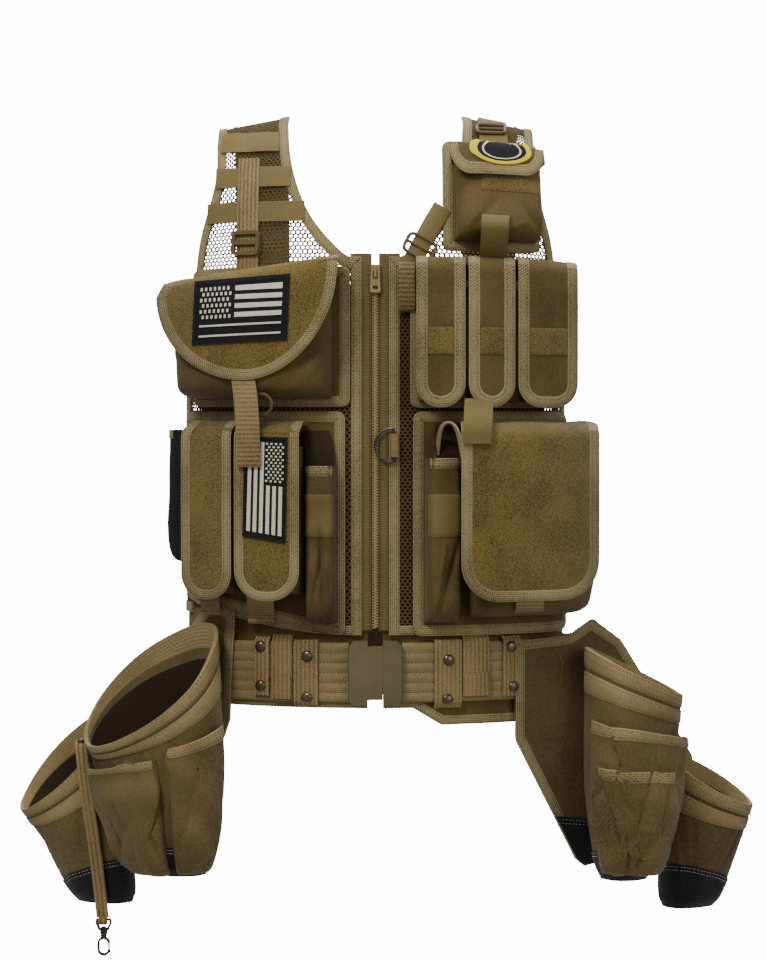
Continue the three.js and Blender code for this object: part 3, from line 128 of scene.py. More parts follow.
def girth_at(x, d=0.0):
    """s of the front's point that stands d out and at x: the arcs' sines solved for s."""
    t = np.abs(np.asarray(x, float))
    wide = np.arcsin(np.clip(t / (FRONT_RADIUS + d), 0, 1)) * FRONT_RADIUS
    side = np.arcsin(np.clip((t - SHIFT) / (SIDE_RADIUS + d), -1, 1)) - JOIN
    split = (FRONT_RADIUS + d) * math.sin(JOIN)
    return np.sign(x) * np.where(t < split, wide, FRONT_ARC + SIDE_RADIUS * side)


def height_at(z, x):
    """h of the front's point that has the height z."""
    z = np.asarray(z, float)
    share = np.clip((z - CHEST_Z) / rise(x), 0, 1)
    return np.where(z <= CHEST_Z, z, CHEST_Z + SHOULDER_ARC * 2 * np.arcsin(share) / math.pi)


def on_vest(s, z, d=0.0):
    """The front by its girth s and its height z, d outwards."""
    return body(s, height_at(z, oval(np.asarray(s, float))[0]), d)


print("half girth", round(HALF_GIRTH, 1), "mm")

# %% [markdown]
# A sewn thing is mostly two kinds of form: a wall of cloth between two nearly parallel surfaces,
# and a band that runs along a line. Both are grids of points, so numpy makes them whole.
# %% Grids, walls and bands


def grid_faces(rows, columns, ring=False):
    """A quad between each four neighbours; ring joins the last column to the first."""
    i, j = np.meshgrid(np.arange(columns if ring else columns - 1), np.arange(rows - 1))
    following = (i + 1) % columns
    corners = [j * columns + i, j * columns + following, (j + 1) * columns + following, (j + 1) * columns + i]
    return np.stack(corners, -1).reshape(-1, 4)


def wall(outer, inner, uv, ring=False):
    """The outer grid, the inner grid turned over, and a strip round each open edge."""
    rows, columns = outer.shape[:2]
    count = rows * columns
    faces = grid_faces(rows, columns, ring)
    index = np.arange(count).reshape(rows, columns)
    if ring:
        rims = [index[0], index[-1][::-1]]
    else:
        rims = [np.concatenate([index[0], index[1:, -1], index[-1, -2::-1], index[-2:0:-1, 0]])]
    strips = [np.stack([np.roll(r, -1), r, r + count, np.roll(r, -1) + count], -1) for r in rims]
    points = np.concatenate([outer.reshape(-1, 3), inner.reshape(-1, 3)])
    flat = uv.reshape(-1, 2)
    return points, [faces, faces[:, ::-1] + count, *strips], np.concatenate([flat, flat])


def evenly(path, step, closed=False):
    """The path again, with points at even distances along it."""
    path = np.asarray(path, float)
    if closed:
        path = np.concatenate([path, path[:1]])
    length = np.concatenate([[0], np.cumsum(np.linalg.norm(np.diff(path, axis=0), axis=1))])
    count = max(2, int(round(length[-1] / step)))
    at = np.linspace(0, length[-1], count + 1)
    if closed:
        at = at[:-1]
    return np.stack([np.interp(at, length, path[:, k]) for k in range(path.shape[1])], -1), at


def along(path, closed=False):
    """The direction of travel at each point of a path."""
    if closed:
        return unit(np.roll(path, -1, 0) - np.roll(path, 1, 0))
    return unit(np.gradient(path, axis=0))


def smoothed(path, count=200):
    """A Catmull-Rom line through the given points."""
    p = np.asarray(path, float)
    p = np.concatenate([2 * p[:1] - p[1:2], p, 2 * p[-1:] - p[-2:-1]])
    t = np.linspace(0, len(p) - 3, count)
    i = np.minimum(t.astype(int), len(p) - 4)
    f = (t - i)[:, None]
    a, b, c, d = p[i], p[i + 1], p[i + 2], p[i + 3]
    return 0.5 * (2 * b + (c - a) * f + (2 * a - 5 * b + 4 * c - d) * f**2 + (3 * b - a - 3 * c + d) * f**3)


def band(surface, path, width, low, high, side=1, swell=0.5, closed=False, step=4.0):
    """A flat band on a surface: a rounded section is carried along the path, from it inwards by width.
    The section's points are (distance inwards, distance out), and side picks which way is inwards."""
    flat, at = evenly(path, step, closed)
    way = along(flat, closed)
    inward = side * np.stack([-way[:, 1], way[:, 0]], -1)
    mid = (low + high) / 2
    section = np.array(
        [
            (0, mid), (0.25, high - 0.2), (1.1, high + 0.6 * swell), (width * 0.5, high + swell),
            (width - 1.1, high + 0.5 * swell), (width - 0.1, high - 0.2), (width - 0.1, low + 0.2),
            (width * 0.5, low),
            (0.25, low + 0.2),
        ]
    )
    spots = flat[:, None, :] + inward[:, None, :] * section[None, :, :1]
    points = surface(spots[..., 0], spots[..., 1], np.broadcast_to(section[:, 1], spots.shape[:2]))
    return closed_band(points, at, section[:, 0], closed)


def closed_band(points, at, across, closed):
    """Rows of section points joined into a skin, with a cap on each open end."""
    rows, columns = points.shape[:2]
    if closed:
        points, at = np.concatenate([points, points[:1]]), np.append(at, 2 * at[-1] - at[-2])
        rows += 1
    faces = [grid_faces(rows, columns, True)]
    if not closed:
        faces += [np.arange(columns)[None, ::-1], (rows - 1) * columns + np.arange(columns)[None]]
    uv = np.stack(np.broadcast_arrays(at[:, None], np.asarray(across)[None, :]), -1)
    return points.reshape(-1, 3), faces, uv.reshape(-1, 2)


def strap(line, across, width, thickness, step=4.0, edge=0.35):
    """A webbing strap through the air: a flat rounded section carried along a line of points,
    with the direction across it given at each point."""
    line, across = np.asarray(line, float), np.broadcast_to(np.asarray(across, float), np.shape(line))
    both, at = evenly(np.concatenate([line, across], 1), step)
    line, across = both[:, :3], unit(both[:, 3:])
    normal = unit(np.cross(along(line), across))
    half, t = width / 2, thickness / 2
    section = np.array(
        [(-half, -t + edge), (-half, t - edge), (-half + edge, t), (0, t), (half - edge, t), (half, t - edge),
         (half, -t + edge), (half - edge, -t), (0, -t), (-half + edge, -t)]
    )
    points = line[:, None] + across[:, None] * section[None, :, :1] + normal[:, None] * section[None, :, 1:]
    return closed_band(points, at, section[:, 0] + half, False)


def rod(line, radius, sides=8, closed=False, squash=1.0, flat=None):
    """A round wire or cord along a line; flat gives the direction in which squash thins it."""
    line = np.asarray(line, float)
    way = along(line, closed)
    guide = np.array([0.13, 0.31, 0.94]) if flat is None else np.asarray(flat, float)
    first = unit(np.cross(way, guide))
    second = unit(np.cross(first, way))
    angle = np.arange(sides) * 2 * math.pi / sides
    ring = first[:, None] * np.cos(angle)[None, :, None] + second[:, None] * squash * np.sin(angle)[None, :,
        None]
    at = np.concatenate([[0], np.cumsum(np.linalg.norm(np.diff(line, axis=0), axis=1))])
    radius = np.broadcast_to(np.asarray(radius, float), len(line))
    return closed_band(line[:, None] + ring * radius[:, None, None], at, angle * 2, closed)


def lathed(profile, centre, axis, sides=24):
    """A profile of (radius, height) turned about an axis through a centre."""
    axis = unit(np.asarray(axis, float))
    first = unit(np.cross(axis, [0.2, 0.1, 0.97]))
    second = np.cross(axis, first)
    angle = np.arange(sides) * 2 * math.pi / sides
    ring = np.cos(angle)[:, None] * first + np.sin(angle)[:, None] * second
    r, up = np.asarray(profile, float).T
    points = np.asarray(centre) + r[:, None, None] * ring[None] + up[:, None, None] * axis
    faces = [grid_faces(len(r), sides, True), np.arange(sides)[None, ::-1],
        (len(r) - 1) * sides + np.arange(sides)[None]]
    uv = np.stack(np.broadcast_arrays(angle[None] * 5, up[:, None]), -1)
    return points.reshape(-1, 3), faces, uv.reshape(-1, 2)


def piece(name, parts, finish, stands_for=(), body_name="vest", merge=0.0, sharp=42):
    """One object from parts of (points, lists of faces, flat places in millimetres), turned outwards."""
    parts = parts if isinstance(parts, list) else [parts]
    starts = np.cumsum([0] + [len(p[0]) for p in parts[:-1]])
    points = np.concatenate([p[0] for p in parts]) * MM
    places = np.concatenate([p[2] for p in parts]) * MM
    faces = [f + start for (_, groups, _), start in zip(parts, starts) for f in groups]
    loops = np.concatenate([f.ravel() for f in faces]).astype(np.int32)
    sizes = np.concatenate([np.full(len(f), f.shape[1]) for f in faces])
    mesh = bpy.data.meshes.new(name)
    mesh.vertices.add(len(points))
    mesh.vertices.foreach_set("co", points.astype(np.float32).ravel())
    mesh.loops.add(len(loops))
    mesh.loops.foreach_set("vertex_index", loops)
    mesh.polygons.add(len(sizes))
    mesh.polygons.foreach_set("loop_start", np.concatenate([[0], np.cumsum(sizes)[:-1]]).astype(np.int32))
    mesh.update(calc_edges=True)
    mesh.uv_layers.new(name="cloth").data.foreach_set("uv", places[loops].astype(np.float32).ravel())
    build = bmesh.new()
    build.from_mesh(mesh)
    if merge:
        bmesh.ops.remove_doubles(build, verts=build.verts, dist=merge * MM)
    bmesh.ops.recalc_face_normals(build, faces=build.faces)
    build.to_mesh(mesh)
    build.free()
    mesh.polygons.foreach_set("use_smooth", np.ones(len(mesh.polygons), bool))
    mesh.set_sharp_from_angle(angle=math.radians(sharp))
    mesh.materials.append(finish)
    made = bpy.data.objects.new(name, mesh)
    bpy.context.scene.collection.objects.link(made)
    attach(made, body_name)
    if stands_for:
        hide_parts(*stands_for)
    print(f"{name}: {sum(len(p.vertices) - 2 for p in mesh.polygons)} triangles")
    return made


# %% [markdown]
# Cloth is never even. A few broad waves in random directions, always the same ones for a seed,
# give each pouch its own soft dents.
# %% Waves and stitches


def ripple(a, b, seed, size=60.0, height=1.0):
    """A sum of six sine waves of random direction and phase, with wavelengths about the given size."""
    rng = np.random.default_rng(seed)
    total = np.zeros(np.broadcast(a, b).shape)
    for _ in range(6):
        turn, phase, length = rng.uniform(0, math.pi), rng.uniform(0, 6.3), size * rng.uniform(0.6, 1.6)
        total += np.sin((a * np.cos(turn) + b * np.sin(turn)) * 2 * math.pi / length + phase)
    return total * height / 6


def creases(a, b, lines):
    """Folds along straight lines (a0, b0, a1, b1, width, height): a bell across each, fading to its ends."""
    total = np.zeros(np.broadcast(a, b).shape)
    for a0, b0, a1, b1, width, height in lines:
        reach = math.hypot(a1 - a0, b1 - b0)
        onward, off = (((a - a0) * p + (b - b0) * q) / reach for p,
            q in ((a1 - a0, b1 - b0), (b0 - b1, a1 - a0)))
        fade = np.sin(math.pi * np.clip(onward / reach, 0, 1)) ** 0.6
        total = total + height * np.exp(-((off / width) ** 2)) * fade
    return total


STITCHES = {"pale": [], "dark": [], "white": []}
STITCH = {"pitch": 3.7, "length": 2.5, "half_width": 0.36, "height": 0.3}


def sew(surface, path, out, inset=0.0, side=1, closed=False, tone="pale"):
    """A row of stitches: each is a long bead, six points spread from its middle along, across and out."""
    flat, _ = evenly(path, STITCH["pitch"], closed)
    way = along(flat, closed)
    flat = flat + side * inset * np.stack([-way[:, 1], way[:, 0]], -1)
    d = np.full(len(flat), float(out))
    middle = surface(flat[:, 0], flat[:, 1], d)
    onward = unit(surface(*(flat + 0.3 * way).T, d) - middle)
    outward = unit(surface(flat[:, 0], flat[:, 1], d + 0.3) - middle)
    sideways = np.cross(onward, outward)
    half, w, t = STITCH["length"] / 2, STITCH["half_width"], STITCH["height"]
    offsets = [onward * half, sideways * w, -onward * half, -sideways * w, outward * t, -outward * t]
    points = np.stack([middle + o for o in offsets], 1)
    around = np.array([(0, 1, 4), (1, 2, 4), (2, 3, 4), (3, 0, 4), (1, 0, 5), (2, 1, 5), (3, 2, 5),
        (0, 3, 5)])
    faces = (np.arange(len(flat))[:, None, None] * 6 + around[None]).reshape(-1, 3)
    STITCHES[tone].append((points.reshape(-1, 3), [faces], np.zeros((len(flat) * 6, 2))))


# %% [markdown]
# Each finish is a small tree of nodes. The threads, the mottling and the pile are used by many
# finishes, so each is a group that is built once and given its own numbers.
# %% Node groups


def srgb(text):
    """A colour as a screen shows it, turned into the linear numbers that shading uses."""
    c = np.array([int(text[i : i + 2], 16) / 255 for i in (1, 3, 5)])
    return (*np.where(c <= 0.04045, c / 12.92, ((c + 0.055) / 1.055) ** 2.4), 1.0)


def node(tree, kind, settings=None, **inputs):
    """A node with its settings and inputs; input names use _ for a space, and n0 is the first."""
    made = tree.nodes.new("ShaderNode" + kind)
    for key, value in (settings or {}).items():
        setattr(made, key, value)
    for key, value in inputs.items():
        numbered = key[0] == "n" and key[1:].isdigit()
        socket = made.inputs[int(key[1:]) if numbered else key.replace("_", " ")]
        if isinstance(value, bpy.types.NodeSocket):
            tree.links.new(value, socket)
        else:
            socket.default_value = value
    return made


def maths(tree, operation, a, b=0.0, c=None):
    extra = {} if c is None else {"n2": c}
    return node(tree, "Math", {"operation": operation}, n0=a, n1=b, **extra).outputs[0]


def group(name, inputs, outputs):
    """An empty group with its named sockets, and the nodes that read and give them."""
    tree = bpy.data.node_groups.new(name, "ShaderNodeTree")
    for key, kind in inputs.items():
        tree.interface.new_socket(key, in_out="INPUT", socket_type="NodeSocket" + kind)
    for key, kind in outputs.items():
        tree.interface.new_socket(key, in_out="OUTPUT", socket_type="NodeSocket" + kind)
    return tree, tree.nodes.new("NodeGroupInput").outputs, tree.nodes.new("NodeGroupOutput").inputs


def make_threads():
    """Ridges across and along the cloth, each one sine wave; the skew turns one into a twill. Shade is
    painted shade: lower in the grooves between the ridges.
    """
    tree, given, result = group(
        "woven_threads", {"Place": "Vector", "Along": "Float", "Across": "Float", "Skew": "Float"},
        {"Height": "Float", "Shade": "Float"},
    )
    split = node(tree, "SeparateXYZ", n0=given["Place"]).outputs
    slanted = maths(tree, "MULTIPLY_ADD", split[1], given["Skew"], split[0])
    waves = []
    for place, pitch in ((slanted, given["Along"]), (split[1], given["Across"])):
        turn = maths(tree, "MULTIPLY", maths(tree, "DIVIDE", place, pitch), 2 * math.pi)
        waves.append(maths(tree, "MULTIPLY_ADD", maths(tree, "SINE", turn), 0.5, 0.5))
    height = maths(tree, "MULTIPLY", maths(tree, "ADD", waves[0], waves[1]), 0.5)
    tree.links.new(height, result["Height"])
    # Painted shade: the thread tops give a light tone, the grooves between them a dark one.
    tree.links.new(maths(tree, "SMOOTH_MIN", height, 0.75, 0.3), result["Shade"])
    return tree


def make_mottle():
    """Slow stains and quick flecks from two noises, as one value about a half."""
    tree, given, result = group(
        "mottle", {"Place": "Vector", "Slow": "Float", "Quick": "Float"}, {"Value": "Float"}
    )
    slow = node(tree, "TexNoise", Vector=given["Place"], Scale=given["Slow"], Detail=3.0).outputs["Fac"]
    quick = node(tree, "TexNoise", Vector=given["Place"], Scale=given["Quick"], Detail=4.0,
        Roughness=0.65).outputs["Fac"]
    total = maths(tree, "ADD", maths(tree, "MULTIPLY", slow, 0.55), maths(tree, "MULTIPLY", quick, 0.45))
    tree.links.new(total, result["Value"])
    return tree


def make_pile():
    """Short loops: small cells whose edges are low, broken up by a finer noise. Shade is painted shade:
    darker where the loops are low.
    """
    tree, given, result = group("loop_pile", {"Place": "Vector", "Scale": "Float"},
        {"Height": "Float", "Shade": "Float"})
    cells = node(tree, "TexVoronoi", Vector=given["Place"], Scale=given["Scale"]).outputs
    fuzz = node(tree, "TexNoise", Vector=given["Place"], Scale=maths(tree, "MULTIPLY", given["Scale"], 1.7),
        Detail=5.0).outputs["Fac"]
    height = maths(tree, "SUBTRACT", fuzz, maths(tree, "MULTIPLY", cells["Distance"], 0.6))
    tree.links.new(height, result["Height"])
    # Painted shade: the tone follows the loops' height.
    tree.links.new(maths(tree, "MULTIPLY_ADD", height, 1.4, 0.25), result["Shade"])
    return tree


GROUPS = {"threads": make_threads(), "mottle": make_mottle(), "pile": make_pile()}
print("groups", sorted(GROUPS))

# %% [markdown]
# Nylon cloth in this tan shows three things: its threads, a slow change of tone where it is
# rubbed or dusty, and a soft edge light. The threads follow the cloth's own flat places.
# %% Finishes


def use(tree, name, **inputs):
    return node(tree, "Group", {"node_tree": GROUPS[name]}, **inputs).outputs


def finish(name, dark, light, rough, threads=None, pile=None, mottle=(14.0, 420.0), depth=0.25, metal=0.0,
        sheen=0.0,
           contrast=1.0, coat=0.0):
    """A material between two tones: mottle and threads or pile choose the tone and lift the surface; the
    threads' and pile's part of the tone is painted shade, darker in their grooves.
    """
    made = bpy.data.materials.new(name)
    made.use_nodes = True
    made.diffuse_color = srgb(light)
    tree = made.node_tree
    shader = tree.nodes["Principled BSDF"]
    place = node(tree, "TexCoord").outputs
    value = use(tree, "mottle", Place=place["Object"], Slow=mottle[0], Quick=mottle[1])["Value"]
    height = value
    if threads:
        woven = use(tree, "threads", Place=place["UV"], Along=threads[0], Across=threads[1], Skew=threads[2])
        height = woven["Height"]
        # Painted shade of the weave's grooves, mixed with the mottle's random tone.
        value = maths(tree, "MULTIPLY_ADD", woven["Shade"], 0.35, maths(tree, "MULTIPLY", value, 0.75))
    if pile:
        loops = use(tree, "pile", Place=place["Object"], Scale=pile)
        height = loops["Height"]
        # Painted shade of the pile's dips, mixed with the mottle's random tone.
        value = maths(tree, "MULTIPLY_ADD", loops["Shade"], 0.55, maths(tree, "MULTIPLY", value, 0.45))
    tone = maths(tree, "MULTIPLY_ADD", maths(tree, "SUBTRACT", value, 0.5), 2.2 * contrast, 0.5)
    ramp = node(tree, "ValToRGB", Fac=tone)
    ramp.color_ramp.elements[0].color = srgb(dark)
    ramp.color_ramp.elements[1].color = srgb(light)
    tree.links.new(ramp.outputs["Color"], shader.inputs["Base Color"])
    spread = maths(tree, "MULTIPLY_ADD", value, -0.18, rough + 0.09)
    tree.links.new(spread, shader.inputs["Roughness"])
    bump = node(tree, "Bump", Strength=0.6, Distance=depth * MM, Height=height)
    tree.links.new(bump.outputs["Normal"], shader.inputs["Normal"])
    shader.inputs["Metallic"].default_value = metal
    shader.inputs["Sheen Weight"].default_value = sheen
    shader.inputs["Sheen Roughness"].default_value = 0.45
    shader.inputs["Coat Weight"].default_value = coat
    shader.inputs["Specular IOR Level"].default_value = 0.5 if metal or coat else 0.3
    return made


COYOTE = finish("coyote_cloth", "#33270f", "#6d5a2f", 0.86, threads=(0.00055, 0.00055, 0.0), sheen=0.08,
    depth=0.2, contrast=1.3)
BINDING = finish("binding_tape", "#524627", "#9a8a60", 0.84, threads=(0.0026, 0.0021, 0.6), sheen=0.1,
    depth=0.4, contrast=2.0)
PILE = finish("loop_pile", "#3d3113", "#877236", 0.95, pile=1050.0, sheen=0.2, depth=1.0,
    mottle=(22.0, 480.0), contrast=1.6)
WEBBING = finish("webbing", "#453417", "#957d50", 0.78, threads=(0.0026, 0.0046, 0.5), depth=0.5,
    sheen=0.08, contrast=1.6)
NYLON = finish("flat_nylon", "#55451f", "#7c6a3a", 0.7, threads=(0.0008, 0.0022, 0.0), depth=0.15, sheen=0.08)
NET_CORD = finish("net_cord", "#2a1f10", "#6a5533", 0.88, threads=(0.0007, 0.0009, 0.3), depth=0.2)
BELT_WEB = finish("belt_webbing", "#59492b", "#998459", 0.74, threads=(0.0016, 0.0021, 0.4), depth=0.3,
    sheen=0.06, contrast=1.2)
BAG_CLOTH = finish("bag_cloth", "#372b13", "#75623a", 0.84, threads=(0.00055, 0.00055, 0.0), sheen=0.08,
    mottle=(9.0, 300.0), contrast=1.4)
BAG_RIM = finish("bag_rim", "#5c4c2a", "#9d885a", 0.8, threads=(0.0022, 0.0024, 0.6), depth=0.35,
    sheen=0.08, contrast=1.3)
DARK_CLOTH = finish("dark_cloth", "#08070a", "#211f23", 0.8, threads=(0.0016, 0.0016, 0.4), sheen=0.06,
    depth=0.35)
SHADE_LINING = finish("shade_lining", "#171008", "#33270f", 0.9, threads=(0.0012, 0.0012, 0.0), contrast=1.3)
# Painted shade: the coyote cloth's shadow tones, for the insides of bags and pockets and for the vest behind
# its net.
ZIP_TAPE = finish("zip_tape", "#48391d", "#7c6840", 0.85, threads=(0.0009, 0.0024, 0.4), depth=0.25)
ZIP_TEETH = finish("zip_teeth", "#7b6336", "#b89d66", 0.36, depth=0.05, coat=0.2)
SLIDE = finish("slide_plastic", "#4a3920", "#6b5534", 0.42, mottle=(30.0, 900.0), depth=0.06, coat=0.15,
    contrast=0.6)
OLIVE = finish("olive_plastic", "#4a4729", "#6d6743", 0.45, mottle=(26.0, 1100.0), depth=0.08, coat=0.12,
    contrast=0.9)
GUNMETAL = finish("gunmetal", "#2b2724", "#6b635c", 0.32, metal=0.9, mottle=(60.0, 900.0), depth=0.04)
COPPER = finish("stud_cap", "#4a362d", "#8d7566", 0.3, metal=0.85, mottle=(90.0, 700.0), depth=0.04)
PALE_THREAD = finish("pale_thread", "#8d7b50", "#c2b083", 0.8)
DARK_THREAD = finish("dark_thread", "#1f170a", "#3a2d16", 0.8)
WHITE_THREAD = finish("white_thread", "#a7a297", "#d8d3c6", 0.8)
PATCH_BLACK = finish("patch_black", "#060607", "#19191c", 0.85, threads=(0.0009, 0.0022, 0.7), depth=0.3)
PATCH_CREAM = finish("patch_cream", "#bdae92", "#efe6d2", 0.8, threads=(0.0024, 0.0009, 0.7), depth=0.3)
PATCH_YELLOW = finish("patch_yellow", "#a89112", "#ead52c", 0.75, threads=(0.0024, 0.0009, 0.7), depth=0.3)
print("finishes", len(bpy.data.materials))

# %% [markdown]
# The shell is three panels of open net. A net is no sheet with a picture of holes: light and the
# background pass through it, so each cell is a real ring of cord, laid like bricks over the body.
# %% Net panels
ZIP_EDGE, NECK_BASE_Z, HEM_Z, HEM_SIDE_Z, UNDERARM_Z = 14.0, -156.0, -548.0, -512.0, -236.0
SHOULDER_OUTER, SHOULDER_TOP = 168.0, CHEST_Z + SHOULDER_ARC
FRONT_REACH = FRONT_ARC + (HALF_GIRTH - 2 * FRONT_ARC) / 3
NET = {"across": 5.2, "row": 3.5, "hole": 0.64, "cord": 0.9}


def lattice(inside, s0, s1, h0, h1, d):
    """Hexagons laid like bricks over (s, h); each keeps the ring between its edge and a smaller hexagon."""
    h, s = np.meshgrid(np.arange(h0, h1, NET["row"]), np.arange(s0, s1, NET["across"]), indexing="ij")
    s = s + (np.arange(len(h)) % 2)[:, None] * NET["across"] / 2
    keep = inside(s, h)
    centre = np.stack([s[keep], h[keep]], -1)
    angle = (np.arange(6) + 0.5) * math.pi / 3
    tall = NET["row"] / 1.5
    corner = np.stack([NET["across"] / 2 * np.cos(angle) / math.cos(math.pi / 6), tall * np.sin(angle)], -1)
    points = centre[:, None, None] + np.stack([corner, corner * NET["hole"]])[None]
    points = points.reshape(-1, 2)
    rounded, index = np.unique(np.round(points * 20).astype(int), axis=0, return_inverse=True)
    flat = rounded / 20.0
    k = np.arange(6)
    ring = np.stack([k, (k + 1) % 6, (k + 1) % 6 + 6, k + 6], -1)
    faces = index.ravel()[(np.arange(len(centre))[:, None, None] * 12 + ring[None]).reshape(-1, 4)]
    return body(flat[:, 0], flat[:, 1], d), [faces], flat


def net_piece(name, parts, stands_for):
    made = piece(name, parts, NET_CORD, stands_for)
    thick = made.modifiers.new("cord", "SOLIDIFY")
    thick.thickness, thick.offset = NET["cord"] * MM, 0
    return made


def to_sh(points):
    """Front-view places (x, z) as places (s, h) on the body."""
    x, z = np.asarray(points, float).T
    return np.stack([girth_at(x), height_at(z, x)], -1)


neck_edge = to_sh([(ZIP_EDGE, NECK_BASE_Z), (34, -151), (69, -109), (87, -59), (NECK_HALF, -16),
    (NECK_HALF, -4)])
neck_edge = np.concatenate([smoothed(neck_edge, 60), [[girth_at(NECK_HALF), SHOULDER_TOP]]])
armhole = to_sh([(190.2, -177), (184.6, -137), (168.9, -75.5), (SHOULDER_OUTER, -30)])
armhole = np.concatenate([[[FRONT_REACH, UNDERARM_Z]], armhole, [[girth_at(SHOULDER_OUTER), SHOULDER_TOP]]])
armhole = np.concatenate([[[FRONT_REACH, HEM_SIDE_Z]], smoothed(armhole, 60)])
front_edge = np.concatenate([[[girth_at(ZIP_EDGE), HEM_Z]], neck_edge])


def hem_height(s):
    """The hem is level by the zip and lifts towards the side as a parabola."""
    share = np.clip((np.abs(s) - 30) / (FRONT_REACH - 30), 0, 1)
    return HEM_Z + (HEM_SIDE_Z - HEM_Z) * share**1.6


def in_front(s, h, margin=3.0):
    inner = np.interp(h, front_edge[:, 1], front_edge[:, 0]) + margin
    outer = np.interp(h, armhole[:, 1], armhole[:, 0]) - margin
    return (np.abs(s) > inner) & (np.abs(s) < outer) & (h > hem_height(s) + margin) & (h < SHOULDER_TOP)


def back_top(s):
    """The back panel's top is level behind and dips under each arm."""
    side = np.maximum(0, 1 - np.abs(np.abs(s) - HALF_GIRTH) / FRONT_ARC)
    return CHEST_Z + (UNDERARM_Z - CHEST_Z) * (1 - np.minimum(1, side * 2.5))


BACK_HEM_Z, SIDE_LAP, UNDER = -530.0, 10.0, -1.6
for side, tag in ((1, "right"), (-1, "left")):
    low, high = (side * 10, side * 245) if side > 0 else (side * 245, side * 10)
    net_piece("front_net_" + tag, lattice(lambda s, h: in_front(s, h), low, high, HEM_Z, SHOULDER_TOP, 1.0),
              ["front_panel_" + tag])
    start, end = FRONT_REACH - SIDE_LAP, HALF_GIRTH
    low, high = (start, end) if side > 0 else (-end, -start)
    net_piece("back_net_" + tag, lattice(
        lambda s, h: (np.abs(s) > start + 3) & (np.abs(s) <= end)
        & (h < back_top(s) - 3) & (h > BACK_HEM_Z + 3),
        low, high, BACK_HEM_Z, CHEST_Z, UNDER), ["back_panel"] if side > 0 else [])


def edge_band(name, paths, width, low, high, finish_, surface=body, stands_for=(), rows=(0.2, 0.76),
        tone="dark",
              closed=False, side=1, swell=0.5):
    """A binding with two rows of stitches along each path."""
    parts = []
    for path in paths:
        parts.append(band(surface, path, width, low, high, side, swell, closed))
        for row in rows:
            sew(surface, path, high + swell * 0.7, width * row, side, closed, tone)
    return piece(name, parts, finish_, stands_for)


def mirrored_path(path):
    return (np.asarray(path) * [-1, 1])[::-1]


hem_s = np.linspace(ZIP_EDGE + 3, FRONT_REACH, 50)
hem = np.stack([hem_s, hem_height(hem_s)], -1)
for tag, turn in (("right", lambda p: p), ("left", mirrored_path)):
    edge_band("neck_binding_" + tag, [turn(front_edge)[::-1]], 11, -0.5, 2.3, BINDING)
    edge_band("armhole_binding_" + tag, [turn(armhole)], 11, -0.5, 2.3, BINDING)
    edge_band("hem_binding_" + tag, [turn(hem)], 10, -0.4, 2.0, BINDING)
back_s = np.linspace(FRONT_REACH - SIDE_LAP, 2 * HALF_GIRTH - FRONT_REACH + SIDE_LAP, 160)
folded = np.where(back_s > HALF_GIRTH, back_s - 2 * HALF_GIRTH, back_s)


def round_back(s, h, d=0.0):
    """Like body, with s running on past the middle of the back."""
    return body(np.where(s > HALF_GIRTH, s - 2 * HALF_GIRTH, s), h, d)


back_path = np.stack([back_s, back_top(folded)], -1)
edge_band("back_top_binding", [back_path[::-1]], 11, -3.2, -0.3, BINDING, round_back)
edge_band("back_hem_binding", [np.stack([back_s, back_s * 0 + BACK_HEM_Z], -1)], 11, -3.2, -0.3, BINDING,
    round_back)

# %% [markdown]
# Two broad straps join the fronts to the back over the shoulders. They are flat webbing folded
# from one piece, with a bound edge on each side.
# %% Back straps and the back's own webbing
STRAP_HALF, STRAP_FOOT = 25.0, CHEST_Z + 2 * SHOULDER_ARC + 26
strap_middle = (NECK_HALF + SHOULDER_OUTER) / 2


def over_sheet(s0, s1, h0, h1, low, high, rows, columns, seed=0, wave=0.0):
    """A rectangle of (s, h) as a wall of cloth, a little uneven."""
    s, h = np.meshgrid(np.linspace(s0, s1, columns), np.linspace(h0, h1, rows))
    dent = ripple(s, h, seed, 70, wave)
    return wall(round_back(s, h, high + dent), round_back(s, h, low + dent), np.stack([s, h], -1))


for side, tag in ((1, "right"), (-1, "left")):
    middle = side * strap_middle
    piece("back_strap_cloth_" + tag, over_sheet(middle - STRAP_HALF, middle + STRAP_HALF,
        SHOULDER_TOP + 0.6, STRAP_FOOT, 0.1, 1.9, 80, 12),
          WEBBING, ["back_strap_" + tag])
    for edge in (-1, 1):
        line = np.stack([np.full(60, middle + edge * STRAP_HALF),
            np.linspace(SHOULDER_TOP + 1, STRAP_FOOT, 60)], -1)
        edge_band(f"back_strap_binding_{tag}_{'in' if edge < 0 else 'out'}", [line], 7, -0.3, 2.2, BINDING,
            side=-edge, rows=(0.5,))
for i, height in enumerate((-232.0, -300.0, -368.0, -436.0, -500.0)):
    reach = 2 * HALF_GIRTH - 330 if i == 0 else 2 * HALF_GIRTH - 345
    piece(f"back_web_{i + 1}", over_sheet(2 * HALF_GIRTH - reach, reach, height - 12.7, height + 12.7, -0.3,
        1.3, 8, 90),
          WEBBING)
    for h in (height - 11, height + 11):
        sew(round_back, np.stack([np.linspace(2 * HALF_GIRTH - reach, reach, 80), np.full(80, h)], -1), 1.4)

